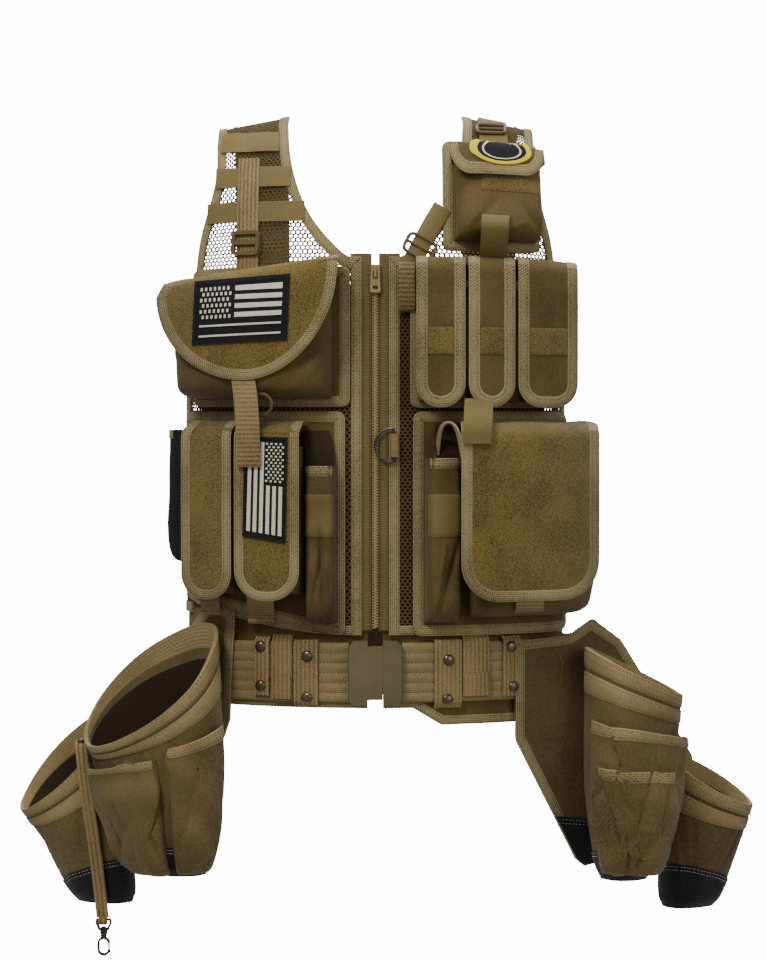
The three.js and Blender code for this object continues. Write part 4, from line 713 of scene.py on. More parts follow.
# %% [markdown]
# The zip: two woven tapes, a coil of teeth that mesh along the middle, and a placket band on
# each side. The teeth are small beads set alternately left and right.
# %% Zip
ZIP_TOP, TOOTH = -164.0, {"pitch": 2.9, "long": 4.4, "tall": 1.7, "thick": 2.0}
for side, tag in ((1, "right"), (-1, "left")):
    span = (3.6, 26) if side > 0 else (-26, -3.6)
    piece("zip_cloth_" + tag, over_sheet(*span, HEM_Z + 4, ZIP_TOP + 6, -2.2, -0.6, 90, 8, 3), ZIP_TAPE,
        ["zip_tape_" + tag])
    inner = side * np.array([4.6, 13.4])
    piece("zip_placket_" + tag, over_sheet(inner.min(), inner.max(), HEM_Z + 5, ZIP_TOP - 16, -0.5, 0.9,
        120, 8, 5, 0.5), ZIP_TAPE)
    for place in (5.9, 12.2):
        line = np.stack([np.full(90, side * place), np.linspace(HEM_Z + 6, ZIP_TOP - 18, 90)], -1)
        sew(body, line, 1.1, tone="dark")


backing = over_sheet(-3.5, 3.5, HEM_Z + 8, ZIP_TOP - 14, -2.0, -1.2, 60, 3)
piece("zip_backing", backing, ZIP_TAPE)


def zip_teeth():
    """Each tooth is a box whose outer end is narrower, placed at (side, height) on the body's middle."""
    h = np.arange(HEM_Z + 8, height_at(ZIP_TOP - 12, 0.0), TOOTH["pitch"] / 2)
    side = np.where(np.arange(len(h)) % 2, 1.0, -1.0)
    corner = np.array([(x, y, z) for x in (-0.35, 1) for y in (-1, 1) for z in (-1, 1)], float)
    s = side[:, None] * corner[None, :, 0] * TOOTH["long"] / 1.35
    up = h[:, None] + corner[None, :, 2] * TOOTH["tall"] / 2 * np.where(corner[:, 0] > 0, 1.0, 0.6)[None]
    d = 0.9 + corner[None, :, 1] * TOOTH["thick"] / 2 * np.where(corner[:, 0] > 0, 0.6, 1.0)[None]
    points = body(s, up, np.broadcast_to(d, s.shape)).reshape(-1, 3)
    box = np.array([(0, 1, 3, 2), (4, 6, 7, 5), (0, 4, 5, 1), (2, 3, 7, 6), (0, 2, 6, 4), (1, 5, 7, 3)])
    faces = (np.arange(len(h))[:, None, None] * 8 + box[None]).reshape(-1, 4)
    return points, [faces], np.zeros((len(points), 2))


piece("zip_teeth", zip_teeth(), ZIP_TEETH, ["zip_chain"], sharp=30)

# %% [markdown]
# Plates of heavy cloth are sewn over the net and carry the pouches. Each is a rounded rectangle
# in the front view, edged all round with tape.
# %% Base plates
BASE_LOW, BASE_HIGH = 2.6, 4.6
BINDING_WIDTH = 11.0


def tablet(x0, x1, z0, z1, corner, slant=0.0, rows=34, columns=30, d=3.0):
    """A rounded rectangle as rows from the top down, each drawn in at the corners by a circle,
    its foot lifted by slant at the left end; given as (s, z)."""
    tall = z1 - z0
    t = np.concatenate([corner * (1 - np.cos(np.linspace(0, math.pi / 2, 7))),
        np.linspace(corner, tall - corner, rows)[1:-1],
                        tall - corner * (1 - np.cos(np.linspace(math.pi / 2, 0, 7)))])
    near = np.clip(corner - np.minimum(t, tall - t), 0, corner)
    inset = corner - np.sqrt(corner**2 - near**2)
    s0, s1 = girth_at(x0 + inset, d), girth_at(x1 - inset, d)
    s = s0[:, None] + (s1 - s0)[:, None] * np.linspace(0, 1, columns)[None]
    share = (s - s0.min()) / (s1.max() - s0.min())
    z = z1 - t[:, None] + slant * (t / tall)[:, None] * (1 - share)
    return np.stack([s, z], -1)


def border(grid):
    """The grid's edge as a loop that runs down the left side and up the right one."""
    return np.concatenate([grid[:, 0], grid[-1, 1:], grid[-2::-1, -1], grid[0, -2:0:-1]])


def base_plate(node_name, x0, x1, z0, z1, corner=8.0, slant=0.0, bound=True):
    grid = tablet(x0, x1, z0, z1, corner, slant)
    dent = ripple(grid[..., 0], grid[..., 1], len(node_name), 80, 0.5)
    s, z = grid[..., 0], grid[..., 1]
    piece(node_name.replace("_base", "_plate"), wall(on_vest(s, z, BASE_HIGH + dent),
        on_vest(s, z, BASE_LOW + 0 * dent), grid),
          COYOTE, [node_name])
    if bound:
        edge_band(node_name.replace("_base", "_binding"), [border(grid)], BINDING_WIDTH, BASE_LOW, 5.4,
            BINDING, on_vest, closed=True)
    return grid


base_plate("chest_base_left", -192, -26, -311, -166)
base_plate("belly_base_left", -200, -31, -549, -316, slant=40)
base_plate("radio_base", 70, 172, -150, -34)
base_plate("chest_base_right", 36, 197, -312, -156)
base_plate("belly_base_right", 39, 202, -549, -316)

# %% [markdown]
# A pouch is a wall of cloth pushed out from its plate. Its sides rise steeply as gussets and its
# front is nearly flat, which a superellipse gives; the foot rises the same way and the mouth
# leans back a little.
# %% Pouches
POUCH_SEAT = 5.2


def side_form(w):
    return np.maximum(0, 1 - np.abs(2 * w - 1) ** 8) ** 0.38


def foot_form(r):
    lean = np.clip((r - 0.3) / 0.7, 0, 1)
    return np.maximum(0, 1 - (1 - np.clip(r, 0, 1)) ** 14) ** 0.38 * (1 - 0.1 * lean)


def lifted(point):
    """A surface that can be left by a distance d along its own normal."""

    def surface(a, b, d=0.0):
        a, b, d = np.broadcast_arrays(*(np.asarray(value, float) for value in (a, b, d)))
        e = 0.4
        normal = unit(np.cross(point(a + e, b) - point(a - e, b), point(a, b + e) - point(a, b - e)))
        return point(a, b) + d[..., None] * normal

    return surface


def pouch_face(surface, u0, u1, v0, v1, depth, seat, wide, tall, seed, dents=1.6, folds=()):
    """The pouch's outside by a, across from 0 to wide, and b, up from 0 to tall, in millimetres."""

    def point(a, b):
        w, r = a / wide, b / tall
        form = side_form(np.clip(w, 0, 1)) * foot_form(r)
        fold = (ripple(a, b, seed, 55, dents) + creases(a / wide, b / tall, folds)) * form
        return surface(u0 + w * (u1 - u0), v0 + r * (v1 - v0), seat + depth * form + fold)

    return lifted(point)


def pouch_wall(face, wide, tall, thickness=2.0, cells=44):
    """The pouch's wall: a grid that is denser by its sides and its foot."""
    t = np.linspace(0, 1, cells)
    w = 0.4 * t + 0.6 * (0.5 - 0.5 * np.cos(math.pi * t))
    r = t**1.5
    a, b = np.meshgrid(w * wide, r * tall)
    a_in = thickness + w * (wide - 2 * thickness)
    b_in = thickness + r * (tall - thickness)
    a2, b2 = np.meshgrid(a_in, b_in)
    inner = face(a2, b2, np.full(a2.shape, -0.75 * thickness))
    return wall(face(a, b), inner, np.stack([a, b], -1))


def line(*points, count=40):
    """A path through a few corners, with many points."""
    p = np.asarray(points, float)
    t = np.linspace(0, len(p) - 1, count)
    return np.stack([np.interp(t, np.arange(len(p)), p[:, k]) for k in (0, 1)], -1)


def front_pouch(node_name, x0, x1, z0, z1, depth, seed, finish_=None, seat=POUCH_SEAT,
        rim=9.0, dents=1.6, folds=()):
    s0, s1 = girth_at(x0), girth_at(x1)
    face = pouch_face(on_vest, s0, s1, z0, z1, depth, seat, s1 - s0, z1 - z0, seed, dents, folds)
    wide, tall = s1 - s0, z1 - z0
    piece(node_name + "_cloth", pouch_wall(face, wide, tall), finish_ or COYOTE, [node_name])
    if rim:
        edge_band(node_name + "_rim", [line((2, tall), (wide - 2, tall))[::-1]], rim, -0.6, 0.5, BINDING,
            face)
    return face, wide, tall


SOFT_FOLDS = [(0.1, 0.05, 0.4, 0.5, 0.05, -2.2), (0.95, 0.05, 0.62, 0.42, 0.05, -2.0),
    (0.3, 0.02, 0.75, 0.2, 0.04, 1.8)]
PLEATS = [(0.5, 0.62, 0.62, 0.05, 0.07, -5.0), (0.75, 0.6, 0.8, 0.03, 0.05, 3.0),
    (0.62, 0.45, 0.2, 0.04, 0.05, -3.5),
          (0.85, 0.35, 0.95, 0.02, 0.05, -3.0), (0.3, 0.5, 0.1, 0.08, 0.05, 2.4)]
front_pouch("chest_pouch_left", -184, -44, -302, -192, 46, 11, dents=4.5, folds=[
    (0.05, 0.4, 0.3, 0.02, 0.04, -3.0), (0.98, 0.5, 0.7, 0.02, 0.05, -4.0), (0.85, 0.9, 0.8, 0.1, 0.03, 2.5)])
front_pouch("long_pouch_1", -173, -132, -506, -352, 38, 12)
front_pouch("long_pouch_2", -128.5, -71.5, -506, -352, 38, 13)
TOOL_LEFT = front_pouch("tool_pocket_left", -67, -39, -535, -372, 26, 14, rim=11, dents=3.0, folds=PLEATS)
RADIO = front_pouch("radio_pouch", 80, 164, -140, -64, 30, 15, dents=2.4, folds=SOFT_FOLDS)
CELL_SIDES = [(44, 90), (98, 141), (149, 190)]
for i, (x0, x1) in enumerate(CELL_SIDES):
    front_pouch(f"cell_pouch_{i + 1}", x0, x1, -306, -182, 30, 16 + i)
front_pouch("large_pouch", 94, 197, -530, -350, 46, 20, dents=3.0,
    folds=[(0.02, 0.02, 0.3, 0.4, 0.03, -3.0)] + SOFT_FOLDS)
TOOL_RIGHT = front_pouch("tool_pocket_right", 50, 82, -535, -364, 28, 21, rim=11, dents=2.4, folds=[
    (0.95, 0.55, 0.3, 0.02, 0.06, -3.5), (0.5, 0.5, 0.15, 0.05, 0.06, 2.2)])
for side, tag in ((1, "right"), (-1, "left")):
    u = (262, 330) if side > 0 else (-330, -262)
    face = pouch_face(body, *u, -478, -335, 20, 0.6, 68, 143, 22 + side)
    piece("side_pouch_cloth_" + tag, pouch_wall(face, 68, 143), DARK_CLOTH,
        ["side_pouch_" + tag])
    edge_band("side_pouch_edge_" + tag, [line((6, 2), (6, 141))], 6, -0.4, 1.0, BINDING, face,
        rows=(0.5,))
    edge_band("side_pouch_rim_" + tag, [line((2, 143), (66, 143))[::-1]], 10, -0.6, 0.5, BINDING,
        face)

# %% [markdown]
# A flap is sewn on above the mouth, turns over it and hangs in front. Its way out and down is a
# smooth line; its outline, drawn in the front view, gives the two ends of each row of the grid.
# %% Flaps
FLAP, FLAP_CLEAR = 3.0, 1.4
FLAP_WAY = [(0, 0), (-0.015, 0.5), (0.015, 0.86), (0.07, 0.985), (0.5, 1.02), (1.05, 0.985)]


ROUND_THE_SIDE = 16.0  # how far a flap's root may reach round the side past its front


class Flap:
    """A flap's outside by x, seen from the front, and b, minus the way down from its hinge."""

    def __init__(self, middle, hinge, tip, reach, tilt=0.0, seed=0, dents=0.8):
        rows = [(POUCH_SEAT + out * reach, hinge - drop * (hinge - tip)) for drop, out in FLAP_WAY]
        self.way = smoothed(rows, 300)
        step = np.diff(self.way, axis=0)
        self.length = np.concatenate([[0], np.cumsum(np.hypot(*step.T))])
        direction = unit(np.gradient(self.way, axis=0))
        self.normal = np.stack([-direction[:, 1], direction[:, 0]], -1)
        self.middle, self.tilt, self.seed, self.dents = middle, tilt, seed, dents

    def down_to(self, z):
        """The way's length where it hangs at the height z."""
        start = np.argmax(self.way[:, 1])
        return np.interp(-np.asarray(z, float), -self.way[start:, 1], self.length[start:])

    def at(self, x, b, d=0.0):
        x, b, d = np.broadcast_arrays(*(np.asarray(value, float) for value in (x, b, d)))
        w = np.clip(-b, 0, self.length[-1])
        bow = ripple(x, b, self.seed, 90, self.dents) * np.clip(w / 30, 0, 1)
        out, z = (
            np.interp(w, self.length, self.way[:, k]) + (FLAP + d + bow) * np.interp(w, self.length,
            self.normal[:, k])
            for k in (0, 1)
        )
        s = girth_at(x, out)
        limit = np.abs(girth_at(x, self.way[:, 0].max())) + ROUND_THE_SIDE
        s = np.sign(s) * np.minimum(np.abs(s), limit)
        h = height_at(z, self.middle) + self.tilt * (x - self.middle)
        return body(s, h, out)


def flap_piece(node_name, shape, left, right, finish_, slot_, bound=True, width=BINDING_WIDTH, rows=40,
        columns=30):
    """left and right are the outline's sides as (x, way) from the hinge down."""
    both = [evenly(edge, 1.0)[0] for edge in (left, right)]
    t = np.linspace(0, 1, rows)
    ends = [np.stack([np.interp(t, np.linspace(0, 1, len(e)), e[:, k]) for k in (0, 1)], -1) for e in both]
    share = np.linspace(0, 1, columns)[None, :, None]
    grid = ends[0][:, None] * (1 - share) + ends[1][:, None] * share
    x, b = grid[..., 0], -grid[..., 1]
    outside = shape.at(x, b, 0)
    made = piece(node_name + "_cloth", wall(outside, shape.at(x, b, -FLAP + 0.6), np.stack([x, b], -1)),
        finish_, [node_name])
    loop = np.concatenate([left, right[::-1]]) * [1, -1]
    if bound:
        edge_band(node_name + "_binding", [loop], width, -FLAP + 0.2, 0.35, BINDING, shape.at)
    return grid


def round_foot(shape, x0, x1, tip, corner):
    """Straight sides that turn into the foot by quarter circles, as (x, way)."""
    w = float(shape.down_to(tip))
    turn = np.linspace(0, math.pi / 2, 12)
    sides = []
    for x, inwards in ((x0, 1), (x1, -1)):
        arc = np.stack([x + inwards * corner * (1 - np.cos(turn)), w - corner + corner * np.sin(turn)], -1)
        sides.append(np.concatenate([[[x, 0.0]], [[x, (w - corner) / 2]], arc]))
    return sides


chest_flap = Flap(-110, -172, -286, 46 + FLAP_CLEAR, tilt=0.085, seed=31, dents=1.6)
share = np.linspace(0, 1, 40)


def bezier(a, b, c, d, t):
    t = t[:, None]
    near = (1 - t) ** 3 * np.array(a) + 3 * (1 - t) ** 2 * t * np.array(b)
    return near + 3 * (1 - t) * t**2 * np.array(c) + t**3 * np.array(d)


moon_left = bezier((-230, -186), (-228, -242), (-178, -281), (-130, -282), share)
moon_right = bezier((-38, -176), (-42, -238), (-84, -281), (-130, -282), share)
moon = []
for edge in (moon_left, moon_right):
    way = np.stack([edge[:, 0], chest_flap.down_to(edge[:, 1])], -1)
    moon.append(np.concatenate([[[edge[0, 0] + (34 if edge is moon_left else -1), 0.0]], way[:-1]]))
flap_piece("chest_flap_left", chest_flap, moon[0], moon[1], PILE, "loop_pile")
LONG_FLAPS = []
for i, (x0, x1, top0, top1) in enumerate([(-203, -149, -180, -136), (-146, -78, -133, -70)]):
    shape = Flap((x0 + x1) / 2 + 16, -332, -515, 38 + FLAP_CLEAR, seed=33 + i)
    LONG_FLAPS.append(shape)
    sides = round_foot(shape, x0, x1, -511, (26, 31)[i])
    for side_line, top in zip(sides, (top0, top1)):
        side_line[0, 0] = top
    sides = [np.concatenate([line_[:1], [[line_[1, 0], 44.0]], line_[1:]]) for line_ in sides]
    flap_piece(f"long_flap_{i + 1}", shape, *sides, PILE, "loop_pile", width=10)
large_flap = Flap(142, -332, -516, 46 + FLAP_CLEAR, seed=35)
flap_piece("large_flap", large_flap, *round_foot(large_flap, 88, 236, -512, 40), PILE, "loop_pile",
    width=11.5)
CELL_FLAPS = []
for i, (x0, x1) in enumerate([(42, 93), (96, 145), (148, 213)]):
    shape = Flap(((42, 96, 147)[i] + (92, 143, 192)[i]) / 2, -164, -316, 30 + FLAP_CLEAR, seed=36 + i)
    CELL_FLAPS.append((shape, x0, x1))
    flap_piece(f"cell_flap_{i + 1}", shape, *round_foot(shape, x0, x1, -312, 25), COYOTE, "coyote_cloth",
        width=12)
radio_flap = Flap(123, -58, -88, 30 + FLAP_CLEAR, tilt=0.12, seed=40)
flap_piece("radio_flap", radio_flap, *round_foot(radio_flap, 80, 182, -85, 24), COYOTE, "coyote_cloth",
    width=10)

# %% [markdown]
# The left shoulder carries three flat bands across, and one ribbed strap down over them to a
# slide buckle. Bands are sewn at their ends and at points between, so they stand a little off.
# %% Shoulder webbing
STRAP_OUT = BASE_LOW + 1.6 + 0.6


def crossband(name, node_name, x0, x1, z, half, low, high, finish_, surface=on_vest, tacks=(), bow=0.8):
    """A level band whose middle stands off by a sine between its tacks."""
    s0, s1 = float(girth_at(x0)), float(girth_at(x1))
    s, zz = np.meshgrid(np.linspace(s0, s1, 48), np.linspace(z - half, z + half, 10))
    share = (s - s0) / (s1 - s0)
    marks = np.concatenate([[0], tacks, [1]])
    off = np.interp(share, marks, np.zeros(len(marks)))
    for a, b in zip(marks[:-1], marks[1:]):
        off = off + np.where((share >= a) & (share <= b),
            np.sin(math.pi * np.clip((share - a) / (b - a), 0, 1)), 0)
    return piece(name, wall(surface(s, zz, high + bow * off), surface(s, zz, low + bow * off),
        np.stack([s, zz], -1)),
                 finish_, [node_name] if node_name else [])


for i, (z, x0, x1, tacks) in enumerate([(-33, -163, -101, (0.47,)), (-71, -167, -88, ()),
        (-108, -175, -73, ())]):
    crossband(f"shoulder_web_{i + 1}", f"shoulder_band_{i + 1}", x0, x1, z, 10.5, BASE_LOW, BASE_LOW + 1.6,
        NYLON, tacks=tacks)
strap_s = float(girth_at(-131.3))
strap_path = np.stack([np.full(80, strap_s - 12.7), np.linspace(-172, -52, 80)], -1)
piece("shoulder_strap_ribbed", band(on_vest, strap_path, 25.4, STRAP_OUT, STRAP_OUT + 1.8, side=-1),
    WEBBING, ["shoulder_strap"])

# %% [markdown]
# The belt is stiff webbing sewn in level channels, on a softer padded sleeve. Loops of webbing
# with press studs hold it, and hangers for the tool bags go round it.
# %% Belt
BELT_TOP, BELT_FOOT, BELT_LOW, BELT_HIGH = -556.0, -618.0, -2.2, 2.8
BELT_END = 27.8


def belt_face(s, z, d=0.0):
    """The belt's outside: six channels, each a half wave of 0.8 mm."""
    share = np.clip((BELT_TOP - z) / (BELT_TOP - BELT_FOOT), 0, 1)
    return round_back(s, z, BELT_HIGH - 0.7 + 0.8 * np.abs(np.sin(6 * math.pi * share)) + d)


s, z = np.meshgrid(np.linspace(BELT_END, 2 * HALF_GIRTH - BELT_END, 260),
    np.linspace(BELT_FOOT, BELT_TOP, 61))
edge_in = np.clip(np.minimum(BELT_TOP - z, z - BELT_FOOT) / 2.5, 0, 1) ** 0.5
piece("belt_webbing", wall(belt_face(s, z, 1.2 * (edge_in - 1)), round_back(s, z, BELT_LOW + 0 * s),
    np.stack([s, z], -1)),
      BELT_WEB, ["belt"])
for row in (0.17, 0.33, 0.5, 0.67, 0.83):
    at = BELT_TOP + (BELT_FOOT - BELT_TOP) * row
    sew(belt_face, np.stack([np.linspace(BELT_END + 3, 2 * HALF_GIRTH - BELT_END - 3, 200),
        np.full(200, at)], -1), 0.1, tone="dark")
PAD_TOP, PAD_FOOT, PAD_DROP = -524.0, -624.0, 18.0


def pad_foot(s):
    """The sleeve's foot hangs lower beside the buckle on the right."""
    return PAD_FOOT - PAD_DROP * np.clip(np.minimum(s - 40, 205 - s) / 30, 0, 1)


s, t = np.meshgrid(np.linspace(8, 2 * HALF_GIRTH - 8, 240), np.linspace(0, 1, 30))
z = pad_foot(s) + (PAD_TOP - pad_foot(s)) * t
full = np.clip(np.minimum(t, 1 - t) / 0.12, 0, 1) ** 0.5
pad = piece("belt_sleeve", wall(round_back(s, z, -3.9 + 1.0 * full), round_back(s, z, -4.6 - 2.2 * full),
    np.stack([s, z], -1)),
            COYOTE, ["belt_pad"])
foot_s = np.linspace(8, 2 * HALF_GIRTH - 8, 200)
edge_band("belt_sleeve_binding", [np.stack([foot_s, pad_foot(foot_s) - 0.5], -1)], 10, -5.6, -2.7, BINDING,
    round_back)


def on_belt(s, z, d=0.0):
    """Over the belt and round its edges, for loops that hold it."""
    over = np.clip(np.maximum(z - BELT_TOP, BELT_FOOT - z) / 5, 0, 1)
    return round_back(np.where(s < 0, s + 2 * HALF_GIRTH, s), z, BELT_HIGH + d - 4.5 * over**2)


STUD = [(0.1, 3.0), (2.6, 2.9), (4.6, 2.3), (5.6, 1.2), (6.0, 0.2), (6.0, -0.8)]


def stud(surface, a, b, out, size=1.0):
    """A press stud's domed cap on a surface."""
    middle = surface(np.array([a]), np.array([b]), np.array([out]))[0]
    outward = unit(surface(np.array([a]), np.array([b]), np.array([out + 1.0]))[0] - middle)
    return lathed(np.array(STUD) * size, middle, outward)


KEEPERS = [(-116.5, 17, -551, -612), (-71, 26, -553, -623), (74.5, 29, -553, -624), (141, 22, -551, -614)]
STUDS = [(-117.5, -561), (-117.5, -602), (-69.5, -570), (-69.5, -613), (74.6, -574), (73.5, -615),
    (139.7, -562), (141.8, -604)]
keepers, studs = [], []
for x, width, top, foot in KEEPERS:
    s0 = float(girth_at(x)) - width / 2
    path = np.stack([np.full(40, s0), np.linspace(foot, top, 40)], -1)
    keepers.append(band(on_belt, path, width, 0.6, 3.2, side=-1))
    for inset in (1.6, width - 1.6):
        sew(on_belt, path, 3.6, inset, -1)
piece("belt_keepers", keepers, WEBBING)
for x, z0 in STUDS:
    studs.append(stud(on_belt, float(girth_at(x)), z0, 3.6))
piece("press_studs", studs, COPPER)
hangers = []
for x, width, top, foot in ((-96, 23, -548, -615), (104, 30, -548, -612)):
    s0 = float(girth_at(x)) - width / 2
    path = np.stack([np.full(40, s0), np.linspace(foot, top, 40)], -1)
    hangers.append(band(on_belt, path, width, 0.5, 2.3, side=-1))
    fold = np.stack([np.full(16, s0 + 1), np.linspace(foot, foot + 24, 16)], -1)
    hangers.append(band(on_belt, fold, width - 2, 2.5, 4.6, side=-1))
piece("bag_hangers", hangers, WEBBING)

# %% [markdown]
# Each tool bag is an open cup of stiff cloth. Its rows are ovals with slightly square corners
# that grow from the foot up, and a mouth that slants down to its front, as a filled bag sags.
# %% Bag forms
BAG_TURN = math.pi / 6
DEEP_BAG = [(0, 0.44, 0.5, 0), (0.1, 0.58, 0.8, 0.02), (0.4, 0.84, 0.98, 0.12), (0.68, 0.95, 1, 0.36),
    (0.88, 0.98, 1, 0.78), (1, 1, 1, 1)]
SHALLOW_BAG = [(0, 0.6, 0.52, 0), (0.12, 0.74, 0.8, 0.03), (0.5, 0.9, 1, 0.25), (0.82, 0.98, 1, 0.72),
    (1, 1, 1, 1)]
BELT_OUT = 3.4
PLATE_START, PLATE_THICKNESS, BAG_SEAT = 146.0, 3.0, 0.9


def plate_start(side):
    return body(girth_at(side * PLATE_START), BELT_TOP, BELT_OUT)


def plate_line(side, x):
    start = plate_start(side)
    return start[1] + math.tan(BAG_TURN) * (abs(x) - abs(start[0]))


class Bag:
    """A bag's outside by a, round it from the back in millimetres, and b, up from its foot."""

    def __init__(self, side, x, z, width, depth, drop, lean, roll, pitch, rows, middle=None, seed=0,
            slack=0.035, folds=()):
        self.side, self.x, self.z, self.width, self.depth, self.drop = side, x, z, width, depth, drop
        self.lean, self.roll, self.pitch, self.seed, self.slack = lean, roll, pitch, seed, slack
        self.rows, self.folds = smoothed(rows, 300), folds
        away = depth + BAG_SEAT + PLATE_THICKNESS
        on_plate = plate_line(side, x - math.sin(BAG_TURN) * away) - math.cos(BAG_TURN) * away
        self.middle = on_plate if middle is None else middle
        self.girth = 2 * math.pi * math.sqrt((width**2 + depth**2) / 2)
        self.at = lifted(self.point)

    def point(self, a, b):
        u, v = a / self.girth, b / self.drop
        inside = np.clip(v, 0, 1)
        width, depth, slant = (np.interp(inside, self.rows[:, 0], self.rows[:, k]) for k in (1, 2, 3))
        turn = 2 * math.pi * u
        across, front = (-np.sign(w) * np.abs(w) ** 0.86 for w in (np.sin(turn), np.cos(turn)))
        rng = np.random.default_rng(self.seed)
        dents = sum(
            rng.uniform(0.3, 1) * np.sin(k * turn + rng.uniform(0, 6.3) + m * 2 * math.pi * v) / k**0.5
            for k, m in ((2, 0.7), (3, -1.1), (4, 1.3), (5, -0.6), (7, 0.9))
        )
        loose = 1 + self.slack * dents * np.sin(math.pi * np.clip(0.15 + 0.75 * v, 0,
            1)) * (0.35 + 0.65 * np.clip(front + 0.4, 0, 1))
        loose = loose + creases(u, v, self.folds)
        cos, sin = math.cos(BAG_TURN), self.side * math.sin(BAG_TURN)
        half, deep = self.width * width * across * loose, self.depth * depth * front * loose
        x = self.side * (self.x - self.lean * (1 - v)) + half * cos + deep * sin
        y = self.middle - math.tan(BAG_TURN) * self.lean * (1 - v)
        y = y + half * self.side * math.sin(BAG_TURN) - deep * cos
        slope = -self.side * self.roll * across - self.pitch * front
        return np.stack([x, y, self.z - self.drop * (1 - v) + slant * slope], -1)

    def skin(self, d, low=0.0, high=1.0, rows=60, columns=96):
        """Rows from the middle of the foot out to its edge, and then up to a height."""
        a = np.arange(columns) * self.girth / columns
        b = low * self.drop + (high - low) * self.drop * np.linspace(0, 1, rows)
        grid = self.at(*np.meshgrid(a, b), np.full((rows, columns), d))
        centre = grid[0].mean(0)
        foot = centre + (grid[0] - centre) * np.array([0, 0.3, 0.6, 0.85, 0.96])[:, None, None]
        return np.concatenate([foot, grid])

    def sheet_uv(self, rows=60, columns=96, high=1.0):
        """The cloth's own lengths at the points of skin, which keep the weave's size."""
        a = np.arange(columns) * self.girth / columns
        b = np.concatenate([np.linspace(-20, -1, 5), high * self.drop * np.linspace(0, 1, rows)])
        return np.stack(np.meshgrid(a, b), -1)


def bag_piece(name, node_name, bag, foot_high, foot_tilt=0.0, toward=0.5):
    """The cup, a near-black lining that paints the shade inside it, two bound rows at its mouth, and a dark
    foot, higher toward one side.
    """
    outer, inner = bag.skin(0.0), bag.skin(-3.0, low=3.0 / bag.drop)
    piece(name + "_cup", wall(outer, inner, bag.sheet_uv(), ring=True), BAG_CLOTH, [node_name],
        merge=0.02)
    # The lining is painted shade: a near-black layer inside the cup, where shade falls.
    shade_lining = [bag.skin(d, low=(3.4 - d) / bag.drop, high=0.88) for d in (-3.3, -4.1)]
    piece(name + "_lining", wall(*shade_lining, bag.sheet_uv(high=0.88), ring=True), SHADE_LINING,
        merge=0.02)
    a = np.linspace(0, bag.girth, 110)
    rims = [band(bag.at, np.stack([a, np.full(110, bag.drop + 0.6)], -1), 17, -3.5, 0.9, side=-1)]
    for inset in (2.4, 8.0, 14.6):
        sew(bag.at, np.stack([a, np.full(110, bag.drop + 0.6)], -1), 1.3, inset, -1, tone="dark")
    rims.append(band(bag.at, np.stack([a, np.full(110, bag.drop - 20)], -1), 18, -0.2, 0.7, side=-1))
    for inset in (2.4, 15.6):
        sew(bag.at, np.stack([a, np.full(110, bag.drop - 20)], -1), 1.0, inset, -1, tone="dark")
    piece(name + "_rim", rims, BAG_RIM)
    columns, rows = 96, 22
    around = np.arange(columns) * bag.girth / columns
    top = (foot_high + foot_tilt * np.cos(2 * math.pi * (around / bag.girth - toward))) * bag.drop
    b = np.linspace(0, 1, rows)[:, None] * top[None]
    grids = []
    for d in (1.3, 0.2):
        grid = bag.at(np.broadcast_to(around, b.shape), b, np.full(b.shape, d))
        centre = grid[0].mean(0) - [0, 0, d]
        grids.append(np.concatenate([centre + (grid[0] - centre) * np.array([0, 0.3, 0.6, 0.85, 0.97])[:,
            None, None], grid]))
    uv = np.stack(np.meshgrid(around, np.arange(len(grids[0]))), -1).astype(float)
    piece(name + "_foot", wall(grids[0], grids[1], uv, ring=True), DARK_CLOTH, merge=0.02)
    for inset in (2.5, 6.0):
        sew(bag.at, np.stack([around, top - inset], -1), 1.5, tone="white")


BAG_FOLDS = [(0.36, 0.75, 0.44, 0.1, 0.012, -0.05), (0.5, 0.7, 0.46, 0.15, 0.014, 0.045),
    (0.6, 0.8, 0.52, 0.2, 0.012, -0.055),
             (0.3, 0.55, 0.38, 0.05, 0.012, 0.05), (0.66, 0.6, 0.6, 0.05, 0.012, -0.05),
             (0.42, 0.85, 0.56, 0.78, 0.05, -0.02)]
BAG_A = Bag(-1, 236, -602, 76, 46, 195, 27, 34, 51, DEEP_BAG, seed=51, folds=BAG_FOLDS)
BAG_B = Bag(-1, 333, -689, 50, 36, 146, 46, 33, 37, SHALLOW_BAG, seed=52, folds=BAG_FOLDS,
            middle=BAG_A.at(BAG_A.girth * 0.25, BAG_A.drop * 0.6, 0.9)[1] + 36)
BAG_C = Bag(1, 273, -590, 52, 42, 218, 11, 22, 11, DEEP_BAG, seed=53, folds=BAG_FOLDS)
BAG_D = Bag(1, 361, -711, 46, 36, 134, 26, 20, 17, SHALLOW_BAG, seed=54, folds=BAG_FOLDS)
bag_piece("left_inner_bag", "bag_a", BAG_A, 0.14, 0.03)
bag_piece("left_outer_bag", "bag_b", BAG_B, 0.2, 0.11, 0.66)
bag_piece("right_inner_bag", "bag_c", BAG_C, 0.14, 0.03)
bag_piece("right_outer_bag", "bag_d", BAG_D, 0.25, 0.1, 0.36)


def bag_pocket(name, node_name, bag, u0, u1, v0, v1, seat, depth, seed, rim=12, folds=()):
    """A pocket on a bag, between shares of its girth and of its height."""
    wide, tall = (u1 - u0) * bag.girth, (v1 - v0) * bag.drop
    face = pouch_face(bag.at, u0 * bag.girth, u1 * bag.girth, v0 * bag.drop, v1 * bag.drop, depth, seat,
        wide, tall, seed, 4.0, folds)
    piece(name + "_cloth", pouch_wall(face, wide, tall, cells=40), BAG_CLOTH, [node_name])
    edge_band(name + "_rim", [line((1.5, tall), (wide - 1.5, tall))[::-1]], rim, -0.6, 0.5, BAG_RIM,
        face)
    return face, wide, tall


